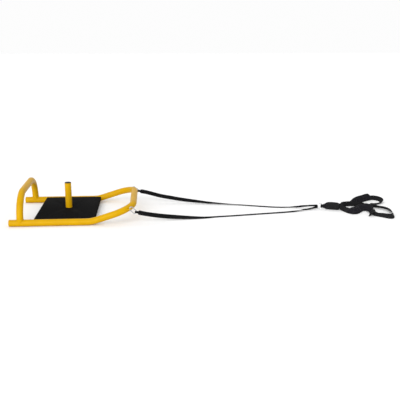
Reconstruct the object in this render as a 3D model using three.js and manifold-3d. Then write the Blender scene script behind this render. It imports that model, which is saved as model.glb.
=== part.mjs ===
// Drag sled with tow straps and a shoulder harness, in millimetres, +Z up.
// +X is the way it is pulled, and -Y is the near side. Places along the sled are
// measured from the rear ends of its rails, and the whole is centred at the end.

import * as THREE from 'three';
import { mergeVertices } from 'three/addons/utils/BufferGeometryUtils.js';
import Module from 'manifold-3d';

const wasm = await Module();
wasm.setup();

// Shared clearances
const touchGap = 0.3; // between pieces that rest on, or are welded to, each other
const pinGap = 0.1; // around a pin that turns in its hole
const overrun = 5; // how far a cutting body runs past what it cuts
const degree = Math.PI / 180;

// Bent frame tube
const tubeRadius = 24;
const tubeWall = 2.5;
const railSpacing = 640; // centre to centre
const railLength = 536; // straight length, up to the nose bend
const noseBendRadius = 242;
const noseAngle = 17.6;
const noseStraight = 123;
const cornerRadius = 148;
const railCapThickness = 3;
const railCapChamfer = 1;
const tubeSides = 20;
const bendStep = 11.25; // between the sections of a bend, in degrees

// Push hoop
const hoopPlace = 78;
const hoopHeight = 217; // floor to the axis of its top bar
const hoopLegHeight = 49; // floor to where its bends start

// Deck and what carries the post
const deckRear = 168;
const deckFront = 596;
const deckTop = 45;
const deckThickness = 3;
const deckLipDepth = 20;
const deckBendRadius = 5;
const deckBendSegments = 3;
const crossMemberWidth = 50;
const crossMemberHeight = 25;
const crossMemberWall = 2;

// Weight post and its cap
const postPlace = 380;
const postHeight = 189; // of the tube, above the deck
const capRimHeight = 4;
const capRimInset = 0.8;
const capChamfer = 1.2;
const capStemLength = 20;
const capStemWall = 2;
const capBarbDepth = 0.8;
const capBarbCount = 3;
const capBarbTipShare = 0.4; // of the pitch from one barb to the next
const capBarbBackShare = 0.45;

// Eye lugs on the front corners
const lugAngle = 42; // round the corner bend
const lugRod = 4;
const lugBendRadius = 15;
const lugBendStep = 18;
const lugStandOff = 5;
const lugHookAngle = 42; // where on the eye the hook hangs
const linkGap = 0.6; // between the eye and the hook

// Snap hooks
const hookLength = 66;
const hookRod = 3.5;
const hookBendRadius = 13;
const hookBendStep = 22.5;
const rodSides = 12;
const pinSides = 16;
const hookDips = { near: 45, far: 35 }; // below level
const hookHeading = 10; // towards the middle of the sled
const hookNosePlace = 17; // along the hook, from the middle of its top rod
const hookPinPlace = 41;
const gateRadius = 3;
const gateBarrelRadius = 3.2;
const gatePinRadius = 1.25;
const tangThickness = 3;
const tangRadius = 2.9;
const tongueLength = 4.5;
const tongueThickness = 2.4;
const tongueHalfHeight = 2.2;
const slotGap = 0.3;
const noseGap = 0.5;

// Webbing of the tow straps
const strapWidth = 32;
const strapThickness = 2;
const eyeWidth = 12;
const eyeThickness = 3.4;
const hookEyeWidth = 15;
const hookNeck = 18; // from the hook's rod to where the layers meet
const ringNeck = 30;
const eyeSlack = 1.6; // between the fold and the rod
const sewnLength = 50;
const gatherShare = 0.59; // of the neck, over which an eye is gathered in
const strapPitch = 48; // steps along the straps
const twistStep = 4; // turn of the webbing at each step, in degrees
const ringGather = 130; // length over which a strap draws in towards the ring
const layerFade = 4; // how soon the free strap leaves the level of its sewn layer
const layerGap = 0.4;
const webbingEaseShares = [0.02, 0.3]; // of its width and thickness, at its edges
const strapDips = { near: 15, far: 9 }; // of a strap as it leaves its hook

// Tow ring
const ringPlace = 2285;
const ringOffset = -25;
const ringRod = 3;
const ringRadius = 23;
const ringSides = 36;
const ringSewn = 34; // sewn length of the strap ends at the ring
const nearEyeLow = -14.4; // lower edge of the near strap's eye, from the middle of the ring
const eyesApart = 1.4;
const farEyeLow = nearEyeLow + eyeWidth + eyesApart;
const floorGap = 0.4;
const courseDivisions = 800; // at which the length of a strap's course is measured
const neckSteps = 5;
const foldSteps = 4;

// Harness
const leaderLength = 20;
const leaderEyeWidth = 24;
const leaderWidth = 36;
const leaderNeck = 13;
const yokeLength = 106;
const yokeHeight = 60;
const yokeThickness = 30;
const yokeEaseShares = [0.08, 0.2];
const yokeDrift = 30; // towards the near side
const harnessSpread = 410; // from the yoke to the tip, which its tables are shares of
const harnessWidth = 38; // of its webbing
const harnessThickness = 2.4;
const padWidth = 58;
const padThickness = 13;
const padSeamPitch = 44;
const nearLeadLength = 86; // from the yoke to the pad
const farLeadLength = 174;
const padLength = 268;

// Strap adjusters
const sliderLength = 26;
const sliderBar = 5; // width of each of its three bars
const sliderSheet = 2.4;
const sliderRim = 3.2; // outside the edges of the webbing
const sliderGap = 0.8; // round the webbing
const tailGap = 1.8; // between the tail and the webbing beside it
const nearSliderPlace = 31; // along the arm webbing, from its pad
const farSliderReach = 367.9; // along the arm webbing, from the yoke

// Places of the tow straps between their sewn ends: x, y, z and the lean of the webbing
const nearTowRoute = [
  [1070, -262, 40, 12], [1150, -245, 27, 32], [1230, -229, 17, 52], [1305, -217, 10, 68],
  [1384, -206, 5, 80], [1450, -188, 2.6, 88], [1515, -174, 1.6, 90], [1590, -163, 1.5, 90],
  [1660, -152, 1.5, 90], [1780, -131, 1.5, 90], [1900, -111, 1.5, 90], [2010, -93, 1.5, 90],
  [2070, -80, 1.6, 93], [2125, -67.5, 2.6, 106], [2162, -57, 5.5, 142], [2198, -45.6, 9, 180],
];
const farTowRoute = [
  [1070, 264, 54, -2], [1150, 247, 42, -6], [1230, 230, 31, -12], [1305, 214, 23.5, -22],
  [1390, 198, 16, -36], [1460, 182, 11, -48], [1530, 168, 8, -60], [1610, 153, 5, -70],
  [1693, 135, 3, -80], [1780, 108, 1.6, -88], [1868, 80, 1.5, -90], [1940, 58, 1.5, -90],
  [2013, 46, 1.6, -86], [2070, 42, 3.5, -74], [2125, 31, 9, -54], [2162, 19, 16, -26],
  [2198, 4.8, 22, 0],
];

// Where the straps of the harness lie, as shares of its spread from the yoke's front:
// x, y, the lean in degrees and the lift off the floor, for the loop from yoke to yoke
const farStrandShares = [
  [0, -0.048, 0, 0.027], [0.02, -0.048, 0, 0.027], [0.052, 0.02, 0, 0.016], [0.09, 0.11, 0, 0.006],
  [0.145, 0.168, 0, 0], [0.22, 0.187, 0, 0], [0.29, 0.196, 0, 0], [0.35, 0.2185, 4, 0],
  [0.4554, 0.331, 4, 0], [0.5988, 0.4434, 5, 0], [0.7354, 0.545, 7, 0], [0.8556, 0.598, 14, 0],
  [0.93, 0.562, 22, 0], [0.972, 0.49, 32, 0], [0.978, 0.42, 44, 0], [0.945, 0.355, 60, 0],
  [0.89, 0.305, 78, 0.004], [0.82, 0.272, 90, 0.0082], [0.75, 0.24, 90, 0.0082],
  [0.68, 0.208, 90, 0.0082], [0.61, 0.178, 74, 0.006], [0.545, 0.158, 48, 0], [0.48, 0.145, 22, 0],
  [0.42, 0.145, 4, 0], [0.36, 0.158, 0, 0], [0.29, 0.17, 0, 0], [0.22, 0.165, 0, 0],
  [0.155, 0.143, 0, 0], [0.105, 0.085, 0, 0.006], [0.066, 0.0, 0, 0.016],
  [0.02, -0.062, 0, 0.027], [0, -0.062, 0, 0.027],
];
const nearStrandShares = [
  [0, -0.1, 6, 0.012], [0.022, -0.102, 14, 0.012], [0.056, -0.146, 30, 0.004],
  [0.092, -0.214, 42, 0], [0.13, -0.285, 44, 0], [0.175, -0.333, 42, 0], [0.228, -0.338, 38, 0],
  [0.28, -0.29, 40, 0], [0.338, -0.216, 44, 0], [0.404, -0.156, 38, 0], [0.474, -0.148, 32, 0],
  [0.52, -0.19, 40, 0.006], [0.531, -0.25, 50, 0.0125], [0.531, -0.32, 50, 0.0125],
  [0.531, -0.395, 50, 0.0125], [0.541, -0.455, 56, 0.005], [0.579, -0.51, 58, 0],
  [0.641, -0.565, 50, 0], [0.709, -0.639, 40, 0],
  [0.77, -0.69, 30, 0], [0.821, -0.656, 26, 0], [0.872, -0.505, 30, 0], [0.904, -0.3, 38, 0],
  [0.8725, -0.122, 46, 0], [0.777, -0.0195, 48, 0], [0.653, 0.0195, 40, 0], [0.538, 0.007, 24, 0],
  [0.433, -0.036, 0, 0], [0.35, -0.1, -26, 0], [0.286, -0.168, -44, 0],
  [0.238, -0.215, -48, 0], [0.192, -0.235, -48, 0], [0.148, -0.216, -48, 0],
  [0.104, -0.168, -44, 0], [0.06, -0.114, -34, 0.004], [0.022, -0.084, -14, 0.012],
  [0, -0.084, -6, 0.012],
];
const tailShares = [
  [0, 0, 50, 0.0125], [0.02, 0, 50, 0.0125], [0.05, 0.005, 48, 0.009], [0.084, 0.024, 42, 0.003],
  [0.112, 0.056, 34, 0], [0.128, 0.096, 26, 0],
];
const yokeShares = [
  [0, 0.6, 0.4], [0.06, 0.76, 0.66], [0.16, 0.93, 0.9], [0.34, 1, 1], [0.76, 1, 1],
  [0.93, 0.95, 1], [1, 0.86, 0.94],
];

// Steps of the swept forms
const bandPitch = 14; // along the harness webbing
const padStepsPerSeam = 6;
const padStepsAcross = 6;
const padEndRound = 40; // length over which a pad's end draws in
const padEndShare = 0.66;
const padSeamShare = 0.6;
const padEdgeShare = 0.35;

// Materials
function finish(color, roughness, metalness) {
  return new THREE.MeshStandardMaterial({ color, roughness, metalness });
}
const yellowPaint = finish(0xe8b400, 0.38, 0.1);
const blackPaint = finish(0x1e1e1f, 0.6, 0.1);
const blackPlastic = finish(0x161618, 0.5, 0);
const zincPlate = finish(0xb4b8bc, 0.35, 0.9);
const chromePlate = finish(0xd8dadc, 0.15, 1);
const blackWebbing = finish(0x1a1a1c, 0.9, 0);
const paddedCloth = finish(0x222225, 0.85, 0);

const sled = new THREE.Group();

function addPiece(name, geometry, material) {
  const piece = new THREE.Mesh(geometry, material);
  piece.name = name;
  sled.add(piece);
  return piece;
}

const vec = (x, y, z) => new THREE.Vector3(x, y, z);
const up = vec(0, 0, 1);

// Points on a circle, the first one on the x axis
function circlePoints(radius, sides) {
  const points = [];
  for (let i = 0; i < sides; i++) {
    const turn = (i / sides) * 2 * Math.PI;
    points.push(new THREE.Vector2(radius * Math.cos(turn), radius * Math.sin(turn)));
  }
  return points;
}

// A round section of unit radius, with a bore when its share of the radius is given
function roundSection(sides, boreShare = 0) {
  const section = new THREE.Shape(circlePoints(1, sides));
  if (boreShare > 0) section.holes.push(new THREE.Path(circlePoints(boreShare, sides)));
  return section;
}

// A path of given stations, each with its own direction, width and thickness
class StationPath extends THREE.Curve {
  constructor(stations) {
    super();
    this.stations = stations;
  }

  getSpacedPoints() {
    return this.stations.map((station) => station.at);
  }

  computeFrenetFrames() {
    const tangents = this.stations.map(({ along }) => along);
    const normals = this.stations.map(({ across, wide }) => across.clone().multiplyScalar(wide));
    const binormals = this.stations.map(({ along, across, thick }) =>
      vec(0, 0, 0).crossVectors(along, across).multiplyScalar(thick));
    return { tangents, normals, binormals };
  }
}

function sweep(section, stations) {
  const extrudePath = new StationPath(stations);
  return new THREE.ExtrudeGeometry(section, { steps: stations.length - 1, extrudePath });
}

// The points and directions of a rod bent at its corners, each to the radius given for it
function bentLine(corners, radii, stepAngle) {
  const line = [{ at: corners[0], along: corners[1].clone().sub(corners[0]).normalize() }];
  for (let i = 1; i < corners.length - 1; i++) {
    const before = corners[i].clone().sub(corners[i - 1]).normalize();
    const after = corners[i + 1].clone().sub(corners[i]).normalize();
    const bend = before.angleTo(after);
    const radius = radii[i - 1];
    const axis = vec(0, 0, 0).crossVectors(before, after).normalize();
    const start = corners[i].clone().addScaledVector(before, -radius * Math.tan(bend / 2));
    const inward = vec(0, 0, 0).crossVectors(axis, before);
    const centre = start.clone().addScaledVector(inward, radius);
    const steps = Math.max(2, Math.round(bend / (stepAngle * degree)));
    for (let k = 0; k <= steps; k++) {
      const spoke = inward.clone().multiplyScalar(-radius).applyAxisAngle(axis, (bend * k) / steps);
      const along = before.clone().applyAxisAngle(axis, (bend * k) / steps);
      line.push({ at: centre.clone().add(spoke), along });
    }
  }
  const end = corners[corners.length - 1];
  line.push({ at: end, along: end.clone().sub(corners[corners.length - 2]).normalize() });
  return line;
}

// Carries one side direction along a bent line without twist
function rodStations(line, firstAcross, radius) {
  let across = firstAcross;
  return line.map((station, i) => {
    if (i > 0) {
      const turn = new THREE.Quaternion().setFromUnitVectors(line[i - 1].along, station.along);
      across = across.clone().applyQuaternion(turn);
    }
    return { at: station.at, along: station.along, across, wide: radius, thick: radius };
  });
}

// Solids for cutting and joining
function solidOf(geometry) {
  const bare = geometry.clone();
  bare.deleteAttribute('normal');
  bare.deleteAttribute('uv');
  const merged = mergeVertices(bare);
  return new wasm.Manifold(new wasm.Mesh({
    numProp: 3,
    vertProperties: new Float32Array(merged.attributes.position.array),
    triVerts: new Uint32Array(merged.index.array),
  }));
}

function geometryOf(solid) {
  const mesh = solid.getMesh();
  const geometry = new THREE.BufferGeometry();
  geometry.setAttribute('position', new THREE.BufferAttribute(mesh.vertProperties, 3));
  geometry.setIndex(new THREE.BufferAttribute(mesh.triVerts, 1));
  geometry.computeVertexNormals();
  return geometry;
}

// A box between two corners
function boxBetween(low, high) {
  const size = high.clone().sub(low);
  const middle = high.clone().add(low).multiplyScalar(0.5);
  return new THREE.BoxGeometry(size.x, size.y, size.z).translate(middle.x, middle.y, middle.z);
}

// A round bar between two points
function barBetween(start, end, radius, sides) {
  const along = end.clone().sub(start);
  const bar = new THREE.CylinderGeometry(radius, radius, along.length(), sides);
  const turn = new THREE.Quaternion().setFromUnitVectors(vec(0, 1, 0), along.clone().normalize());
  const middle = start.clone().add(end).multiplyScalar(0.5);
  return bar.applyQuaternion(turn).translate(middle.x, middle.y, middle.z);
}

// Frame tube: rails, nose and front bar in one bent tube
const railHalf = railSpacing / 2;
const noseUp = vec(Math.cos(noseAngle * degree), 0, Math.sin(noseAngle * degree));
const noseTangent = noseBendRadius * Math.tan((noseAngle * degree) / 2);

function frameCorners(rearEnd) {
  const bend = vec(railLength + noseTangent, -railHalf, tubeRadius);
  const corner = bend.clone().addScaledVector(noseUp, noseTangent + noseStraight + cornerRadius);
  const nearSide = [vec(rearEnd, -railHalf, tubeRadius), bend, corner];
  const farSide = nearSide.map((point) => vec(point.x, -point.y, point.z)).reverse();
  return [...nearSide, ...farSide];
}

const frameRadii = [noseBendRadius, cornerRadius, cornerRadius, noseBendRadius];
const boreShare = (tubeRadius - tubeWall) / tubeRadius;

function frameSweep(rearEnd, radius, section) {
  const line = bentLine(frameCorners(rearEnd), frameRadii, bendStep);
  return sweep(section, rodStations(line, up, radius));
}

addPiece('frame_tube',
  frameSweep(railCapThickness + touchGap, tubeRadius, roundSection(tubeSides, boreShare)), yellowPaint);
const frameCutter = solidOf(frameSweep(-overrun, tubeRadius + touchGap, roundSection(tubeSides)));

// Welded discs in the rear ends of the rails
function railCap() {
  const profile = [
    new THREE.Vector2(0, 0),
    new THREE.Vector2(tubeRadius, 0),
    new THREE.Vector2(tubeRadius, railCapThickness - railCapChamfer),
    new THREE.Vector2(tubeRadius - railCapChamfer, railCapThickness),
    new THREE.Vector2(0, railCapThickness),
  ];
  return new THREE.LatheGeometry(profile, tubeSides).rotateZ(Math.PI / 2);
}

for (const [name, side] of [['near_rail_cap', -1], ['far_rail_cap', 1]]) {
  const cap = addPiece(name, railCap(), yellowPaint);
  cap.position.set(railCapThickness, side * railHalf, tubeRadius);
}

// Push hoop, coped onto the rails
function pushHoop() {
  const corners = [
    vec(hoopPlace, -railHalf, tubeRadius),
    vec(hoopPlace, -railHalf, hoopHeight),
    vec(hoopPlace, railHalf, hoopHeight),
    vec(hoopPlace, railHalf, tubeRadius),
  ];
  const bendRadius = hoopHeight - hoopLegHeight;
  const line = bentLine(corners, [bendRadius, bendRadius], bendStep);
  const tube = sweep(roundSection(tubeSides, boreShare), rodStations(line, vec(1, 0, 0), tubeRadius));
  return geometryOf(solidOf(tube).subtract(frameCutter));
}

addPiece('push_hoop', pushHoop(), yellowPaint);

// Deck pan: a flat sheet with turned-down lips, cut to the rails it is welded to
function deckOutline() {
  const outer = deckBendRadius;
  const inner = deckBendRadius - deckThickness;
  const foot = deckTop - deckLipDepth;
  const outline = new THREE.Shape();
  outline.moveTo(deckRear, foot);
  outline.lineTo(deckRear + deckThickness, foot);
  outline.lineTo(deckRear + deckThickness, deckTop - outer);
  outline.absarc(deckRear + outer, deckTop - outer, inner, Math.PI, Math.PI / 2, true);
  outline.lineTo(deckFront - outer, deckTop - deckThickness);
  outline.absarc(deckFront - outer, deckTop - outer, inner, Math.PI / 2, 0, true);
  outline.lineTo(deckFront - deckThickness, foot);
  outline.lineTo(deckFront, foot);
  outline.lineTo(deckFront, deckTop - outer);
  outline.absarc(deckFront - outer, deckTop - outer, outer, 0, Math.PI / 2, false);
  outline.lineTo(deckRear + outer, deckTop);
  outline.absarc(deckRear + outer, deckTop - outer, outer, Math.PI / 2, Math.PI, false);
  return outline;
}

// A sheet profile in x and z, run from rail to rail and cut to them
function betweenRails(outline) {
  const options = { depth: railSpacing, bevelEnabled: false, curveSegments: deckBendSegments };
  const bar = new THREE.ExtrudeGeometry(outline, options);
  bar.rotateX(Math.PI / 2).translate(0, railHalf, 0);
  return solidOf(bar).subtract(frameCutter).decompose();
}

// Of the pieces that the cut leaves, the one between the rails
function middleOf(pieces) {
  const reach = (piece) => {
    const box = piece.boundingBox();
    return Math.abs(box.min[1] + box.max[1]);
  };
  return pieces.sort((a, b) => reach(a) - reach(b))[0];
}

// The deck has a hole that the post goes through
function deckPlate() {
  const low = vec(postPlace, 0, deckTop - deckThickness - overrun);
  const high = vec(postPlace, 0, deckTop + overrun);
  const hole = solidOf(barBetween(low, high, tubeRadius + touchGap, tubeSides));
  return geometryOf(middleOf(betweenRails(deckOutline())).subtract(hole));
}

addPiece('deck_plate', deckPlate(), blackPaint);

// Box tube under the deck that carries the post
function crossMember() {
  const top = deckTop - deckThickness - touchGap;
  const rectangle = (halfWidth, low, high) => [
    new THREE.Vector2(postPlace - halfWidth, low),
    new THREE.Vector2(postPlace + halfWidth, low),
    new THREE.Vector2(postPlace + halfWidth, high),
    new THREE.Vector2(postPlace - halfWidth, high),
  ];
  const wall = crossMemberWall;
  const half = crossMemberWidth / 2;
  const outline = new THREE.Shape(rectangle(half, top - crossMemberHeight, top));
  const bore = rectangle(half - wall, top - crossMemberHeight + wall, top - wall);
  outline.holes.push(new THREE.Path(bore));
  return geometryOf(middleOf(betweenRails(outline)));
}

addPiece('post_cross_member', crossMember(), blackPaint);

// Weight post, which stands on the cross member, and its barbed cap
const postFoot = deckTop - deckThickness;
const postTop = deckTop + postHeight;

function weightPost() {
  const outline = new THREE.Shape(circlePoints(tubeRadius, tubeSides));
  outline.holes.push(new THREE.Path(circlePoints(tubeRadius - tubeWall, tubeSides)));
  return new THREE.ExtrudeGeometry(outline, { depth: postTop - postFoot, bevelEnabled: false });
}

function postCap() {
  const rim = tubeRadius - capRimInset;
  const barb = tubeRadius - tubeWall - touchGap;
  const stem = barb - capBarbDepth;
  const bore = stem - capStemWall;
  const pitch = capStemLength / capBarbCount;
  const profile = [new THREE.Vector2(0, -capChamfer), new THREE.Vector2(bore, -capChamfer)];
  profile.push(new THREE.Vector2(bore, -capStemLength), new THREE.Vector2(stem, -capStemLength));
  for (let i = capBarbCount; i > 0; i--) {
    profile.push(new THREE.Vector2(barb, -pitch * (i - capBarbTipShare)));
    profile.push(new THREE.Vector2(stem, -pitch * (i - capBarbBackShare)));
    if (i > 1) profile.push(new THREE.Vector2(stem, -pitch * (i - 1)));
  }
  profile.push(new THREE.Vector2(stem, 0), new THREE.Vector2(rim, 0));
  profile.push(new THREE.Vector2(rim, capRimHeight - capChamfer));
  profile.push(new THREE.Vector2(rim - capChamfer, capRimHeight), new THREE.Vector2(0, capRimHeight));
  return new THREE.LatheGeometry(profile, tubeSides).rotateX(Math.PI / 2);
}

addPiece('weight_post', weightPost(), yellowPaint).position.set(postPlace, 0, postFoot);
addPiece('post_cap', postCap(), blackPlastic).position.set(postPlace, 0, postTop + touchGap);

// The hook, from the middle of its top rod to the middle of its lowest
const hookSpan = hookLength - 2 * hookRod;

// Where the corner hardware of the near or the far side lies
function cornerPlaces(sideName) {
  const side = sideName === 'near' ? -1 : 1;
  const bendStart = frameCorners(0)[2].clone().addScaledVector(noseUp, -cornerRadius);
  bendStart.y = side * railHalf;
  const inward = vec(0, -side, 0);
  const turn = lugAngle * degree;
  const outward = noseUp.clone().multiplyScalar(Math.sin(turn)).addScaledVector(inward, -Math.cos(turn));
  const sideways = noseUp.clone().multiplyScalar(Math.cos(turn)).addScaledVector(inward, Math.sin(turn));
  const bendCentre = bendStart.clone().addScaledVector(inward, cornerRadius);
  const eyeCentre = bendCentre.clone()
    .addScaledVector(outward, cornerRadius + tubeRadius + lugStandOff);
  const hang = lugHookAngle * degree;
  const bar = eyeCentre.clone()
    .addScaledVector(outward, lugBendRadius * Math.cos(hang))
    .addScaledVector(sideways, lugBendRadius * Math.sin(hang));
  const heading = vec(1, 0, 0).applyAxisAngle(up, -side * hookHeading * degree);
  const tilt = (dip) => heading.clone().multiplyScalar(Math.cos(dip * degree))
    .addScaledVector(up, -Math.sin(dip * degree));
  const hookAlong = tilt(hookDips[sideName]);
  const hookUp = tilt(hookDips[sideName] - 90);
  const hookTop = bar.clone().addScaledVector(hookAlong, -(lugRod + hookRod + linkGap));
  const strapAlong = tilt(strapDips[sideName]);
  const strapHub = hookTop.clone()
    .addScaledVector(hookAlong, hookSpan - hookBendRadius)
    .addScaledVector(strapAlong, hookBendRadius);
  return { outward, sideways, eyeCentre, hookTop, hookAlong, hookUp, strapAlong, strapHub };
}

// Eye lug: a bent rod whose legs are coped onto the corner of the frame
function eyeLug({ outward, sideways, eyeCentre }) {
  const leg = (offset, depth) => eyeCentre.clone()
    .addScaledVector(sideways, offset * lugBendRadius)
    .addScaledVector(outward, depth);
  const corners = [
    leg(-1, -lugStandOff - overrun), leg(-1, lugBendRadius), leg(1, lugBendRadius),
    leg(1, -lugStandOff - overrun),
  ];
  const line = bentLine(corners, [lugBendRadius, lugBendRadius], lugBendStep);
  line.splice(line.length / 2, 1); // the top is where both bends meet
  const rod = sweep(roundSection(rodSides), rodStations(line, up, lugRod));
  return geometryOf(solidOf(rod).subtract(frameCutter));
}

// Snap hook pieces, built with x along the hook and y towards its gate
const gateLine = hookBendRadius;

function hookBody() {
  const corners = [
    vec(hookNosePlace, gateLine, 0), vec(0, gateLine, 0), vec(0, -gateLine, 0),
    vec(hookSpan, -gateLine, 0), vec(hookSpan, gateLine, 0),
    vec(hookPinPlace + gateBarrelRadius + noseGap, gateLine, 0),
  ];
  const line = bentLine(corners, corners.slice(2).map(() => hookBendRadius), hookBendStep);
  const across = vec(0, 0, 1);
  const kept = line.filter((station, i) => i === 0 || station.at.distanceTo(line[i - 1].at) > touchGap);
  const rod = solidOf(sweep(roundSection(rodSides), rodStations(kept, across, hookRod)));
  const tang = solidOf(barBetween(
    vec(hookPinPlace, gateLine, -tangThickness / 2),
    vec(hookPinPlace, gateLine, tangThickness / 2), tangRadius, pinSides));
  const web = solidOf(boxBetween(
    vec(hookPinPlace, gateLine - tangRadius, -tangThickness / 2),
    vec(hookPinPlace + gateBarrelRadius + tangRadius, gateLine + tangRadius, tangThickness / 2)));
  const tongue = solidOf(boxBetween(
    vec(hookNosePlace - tongueHalfHeight, gateLine - tongueHalfHeight, -tongueThickness / 2),
    vec(hookNosePlace + tongueLength, gateLine + tongueHalfHeight, tongueThickness / 2)));
  return rod.add(tang).add(web).add(tongue).subtract(pinHole());
}

function pinHole() {
  const reach = gateRadius + overrun;
  return solidOf(barBetween(
    vec(hookPinPlace, gateLine, -reach), vec(hookPinPlace, gateLine, reach),
    gatePinRadius + pinGap, pinSides));
}

function hookGate() {
  const tip = hookNosePlace + noseGap;
  const rod = solidOf(barBetween(
    vec(tip, gateLine, 0), vec(hookPinPlace, gateLine, 0), gateRadius, rodSides));
  const barrel = solidOf(barBetween(
    vec(hookPinPlace, gateLine, -gateRadius), vec(hookPinPlace, gateLine, gateRadius),
    gateBarrelRadius, pinSides));
  const hingeSlot = solidOf(boxBetween(
    vec(hookPinPlace - gateBarrelRadius - slotGap, gateLine - overrun, -tangThickness / 2 - slotGap),
    vec(hookPinPlace + gateBarrelRadius + overrun, gateLine + overrun, tangThickness / 2 + slotGap)));
  const noseSlot = solidOf(boxBetween(
    vec(tip - overrun, gateLine - overrun, -tongueThickness / 2 - slotGap),
    vec(hookNosePlace + tongueLength + noseGap, gateLine + overrun, tongueThickness / 2 + slotGap)));
  return rod.add(barrel).subtract(hingeSlot).subtract(noseSlot).subtract(pinHole());
}

function gatePin() {
  const start = vec(hookPinPlace, gateLine, -gateRadius);
  const end = vec(hookPinPlace, gateLine, gateRadius);
  return barBetween(start, end, gatePinRadius, pinSides);
}

// Turns and moves a piece built on the hook's own axes to its place at a corner
function onHook(geometry, { hookTop, hookAlong, hookUp }) {
  const normal = vec(0, 0, 0).crossVectors(hookAlong, hookUp);
  const place = new THREE.Matrix4().makeBasis(hookAlong, hookUp, normal).setPosition(hookTop);
  return geometry.applyMatrix4(place);
}

const corners = { near: cornerPlaces('near'), far: cornerPlaces('far') };
for (const [side, places] of Object.entries(corners)) {
  addPiece(`${side}_eye_lug`, eyeLug(places), zincPlate);
  addPiece(`${side}_hook_body`, onHook(geometryOf(hookBody()), places), zincPlate);
  addPiece(`${side}_hook_gate`, onHook(geometryOf(hookGate()), places), zincPlate);
  addPiece(`${side}_gate_pin`, onHook(gatePin(), places), zincPlate);
}

// A flat section of unit width and thickness, its corners eased by the shares given
function flatSection(easeWidthShare, easeThicknessShare) {
  const w = 0.5 - easeWidthShare;
  const t = 0.5 - easeThicknessShare;
  const points = [
    [-w, -0.5], [w, -0.5], [0.5, -t], [0.5, t], [w, 0.5], [-w, 0.5], [-0.5, t], [-0.5, -t],
  ];
  return new THREE.Shape(points.map(([x, y]) => new THREE.Vector2(x, y)));
}

// A crowned section: full in the middle, thin at both edges
function crownedSection(edgeShare, pointsPerFace) {
  const points = [];
  for (const face of [-1, 1]) {
    for (let i = 0; i <= pointsPerFace; i++) {
      const x = -face * (0.5 - i / pointsPerFace);
      const crown = Math.sqrt(1 - 4 * x * x);
      points.push(new THREE.Vector2(-x, (face / 2) * (edgeShare + (1 - edgeShare) * crown)));
    }
  }
  return new THREE.Shape(points);
}

const webbingSection = flatSection(...webbingEaseShares);

// Direction of the webbing's width, leaned to the left of the way it runs
function leaned(along, lean) {
  const upright = up.clone().addScaledVector(along, -along.dot(up)).normalize();
  const left = vec(0, 0, 0).crossVectors(upright, along);
  return upright.multiplyScalar(Math.cos(lean * degree)).addScaledVector(left, Math.sin(lean * degree));
}

// Height of a band's middle when its lower edge lies on the floor
function restHeight(wide, thick, lean) {
  const turn = lean * degree;
  return floorGap + (wide / 2) * Math.abs(Math.cos(turn)) + (thick / 2) * Math.abs(Math.sin(turn));
}

const smooth = (share) => share * share * (3 - 2 * share);

// A smooth course through points with leans, read by distance from its start. The heights of
// a lying course are lifts off the floor, and otherwise those of the band's middle.
class Course {
  constructor(rows, lying = false) {
    this.lying = lying;
    this.curve = new THREE.CatmullRomCurve3(rows.map(([x, y, z]) => vec(x, y, z)), false, 'centripetal');
    this.curve.arcLengthDivisions = courseDivisions;
    this.length = this.curve.getLength();
    this.leans = rows.map((row) => row[3]);
    const lengths = this.curve.getLengths();
    const perPoint = (lengths.length - 1) / (rows.length - 1);
    this.marks = rows.map((_, i) => lengths[Math.round(i * perPoint)]);
  }

  leanAt(distance) {
    const { marks, leans } = this;
    let i = 1;
    while (i < marks.length - 1 && marks[i] < distance) i++;
    const share = THREE.MathUtils.clamp((distance - marks[i - 1]) / (marks[i] - marks[i - 1]), 0, 1);
    return THREE.MathUtils.lerp(leans[i - 1], leans[i], share);
  }

  // Distances over a stretch: a pitch apart at most, and closer where the webbing twists
  stepsOver(start, end, pitch) {
    const probe = (end - start) / courseDivisions;
    const efforts = [0];
    for (let i = 1; i <= courseDivisions; i++) {
      const at = start + i * probe;
      const twist = Math.abs(this.leanAt(at) - this.leanAt(at - probe));
      efforts.push(efforts[i - 1] + Math.max(probe / pitch, twist / twistStep));
    }
    const total = efforts[courseDivisions];
    const count = Math.ceil(total);
    const distances = [];
    for (let i = 0; i <= count; i++) {
      distances.push(start + probe * efforts.findIndex((effort) => effort >= (total * i) / count));
    }
    return distances;
  }

  // A station at a distance along the course, raised off its middle by height
  station(distance, height, wide, thick) {
    const inside = THREE.MathUtils.clamp(distance, 0, this.length);
    const share = inside / this.length;
    const lean = this.leanAt(inside);
    const along = this.curve.getTangentAt(share);
    const across = leaned(along, lean);
    const at = this.curve.getPointAt(share).addScaledVector(along, distance - inside);
    const rest = restHeight(wide, thick, lean) + Math.abs(height * Math.sin(lean * degree));
    at.z = this.lying ? at.z + rest : Math.max(at.z, rest);
    at.addScaledVector(vec(0, 0, 0).crossVectors(along, across), height);
    return { at, along, across, wide, thick };
  }
}

// Stations carry the direction of the sweep itself, square to their width. Both ends keep
// the direction of the course, so that pieces which meet there have matching faces.
function faceAlong(stations) {
  const last = stations.length - 1;
  return stations.map((station, i) => {
    const sweepAlong = stations[Math.min(i + 1, last)].at.clone().sub(stations[Math.max(i - 1, 0)].at);
    const along = i === 0 || i === last ? station.along.clone() : sweepAlong.clone();
    if (along.dot(sweepAlong) < 0) along.negate();
    along.addScaledVector(station.across, -along.dot(station.across)).normalize();
    return { ...station, along };
  });
}

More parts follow.
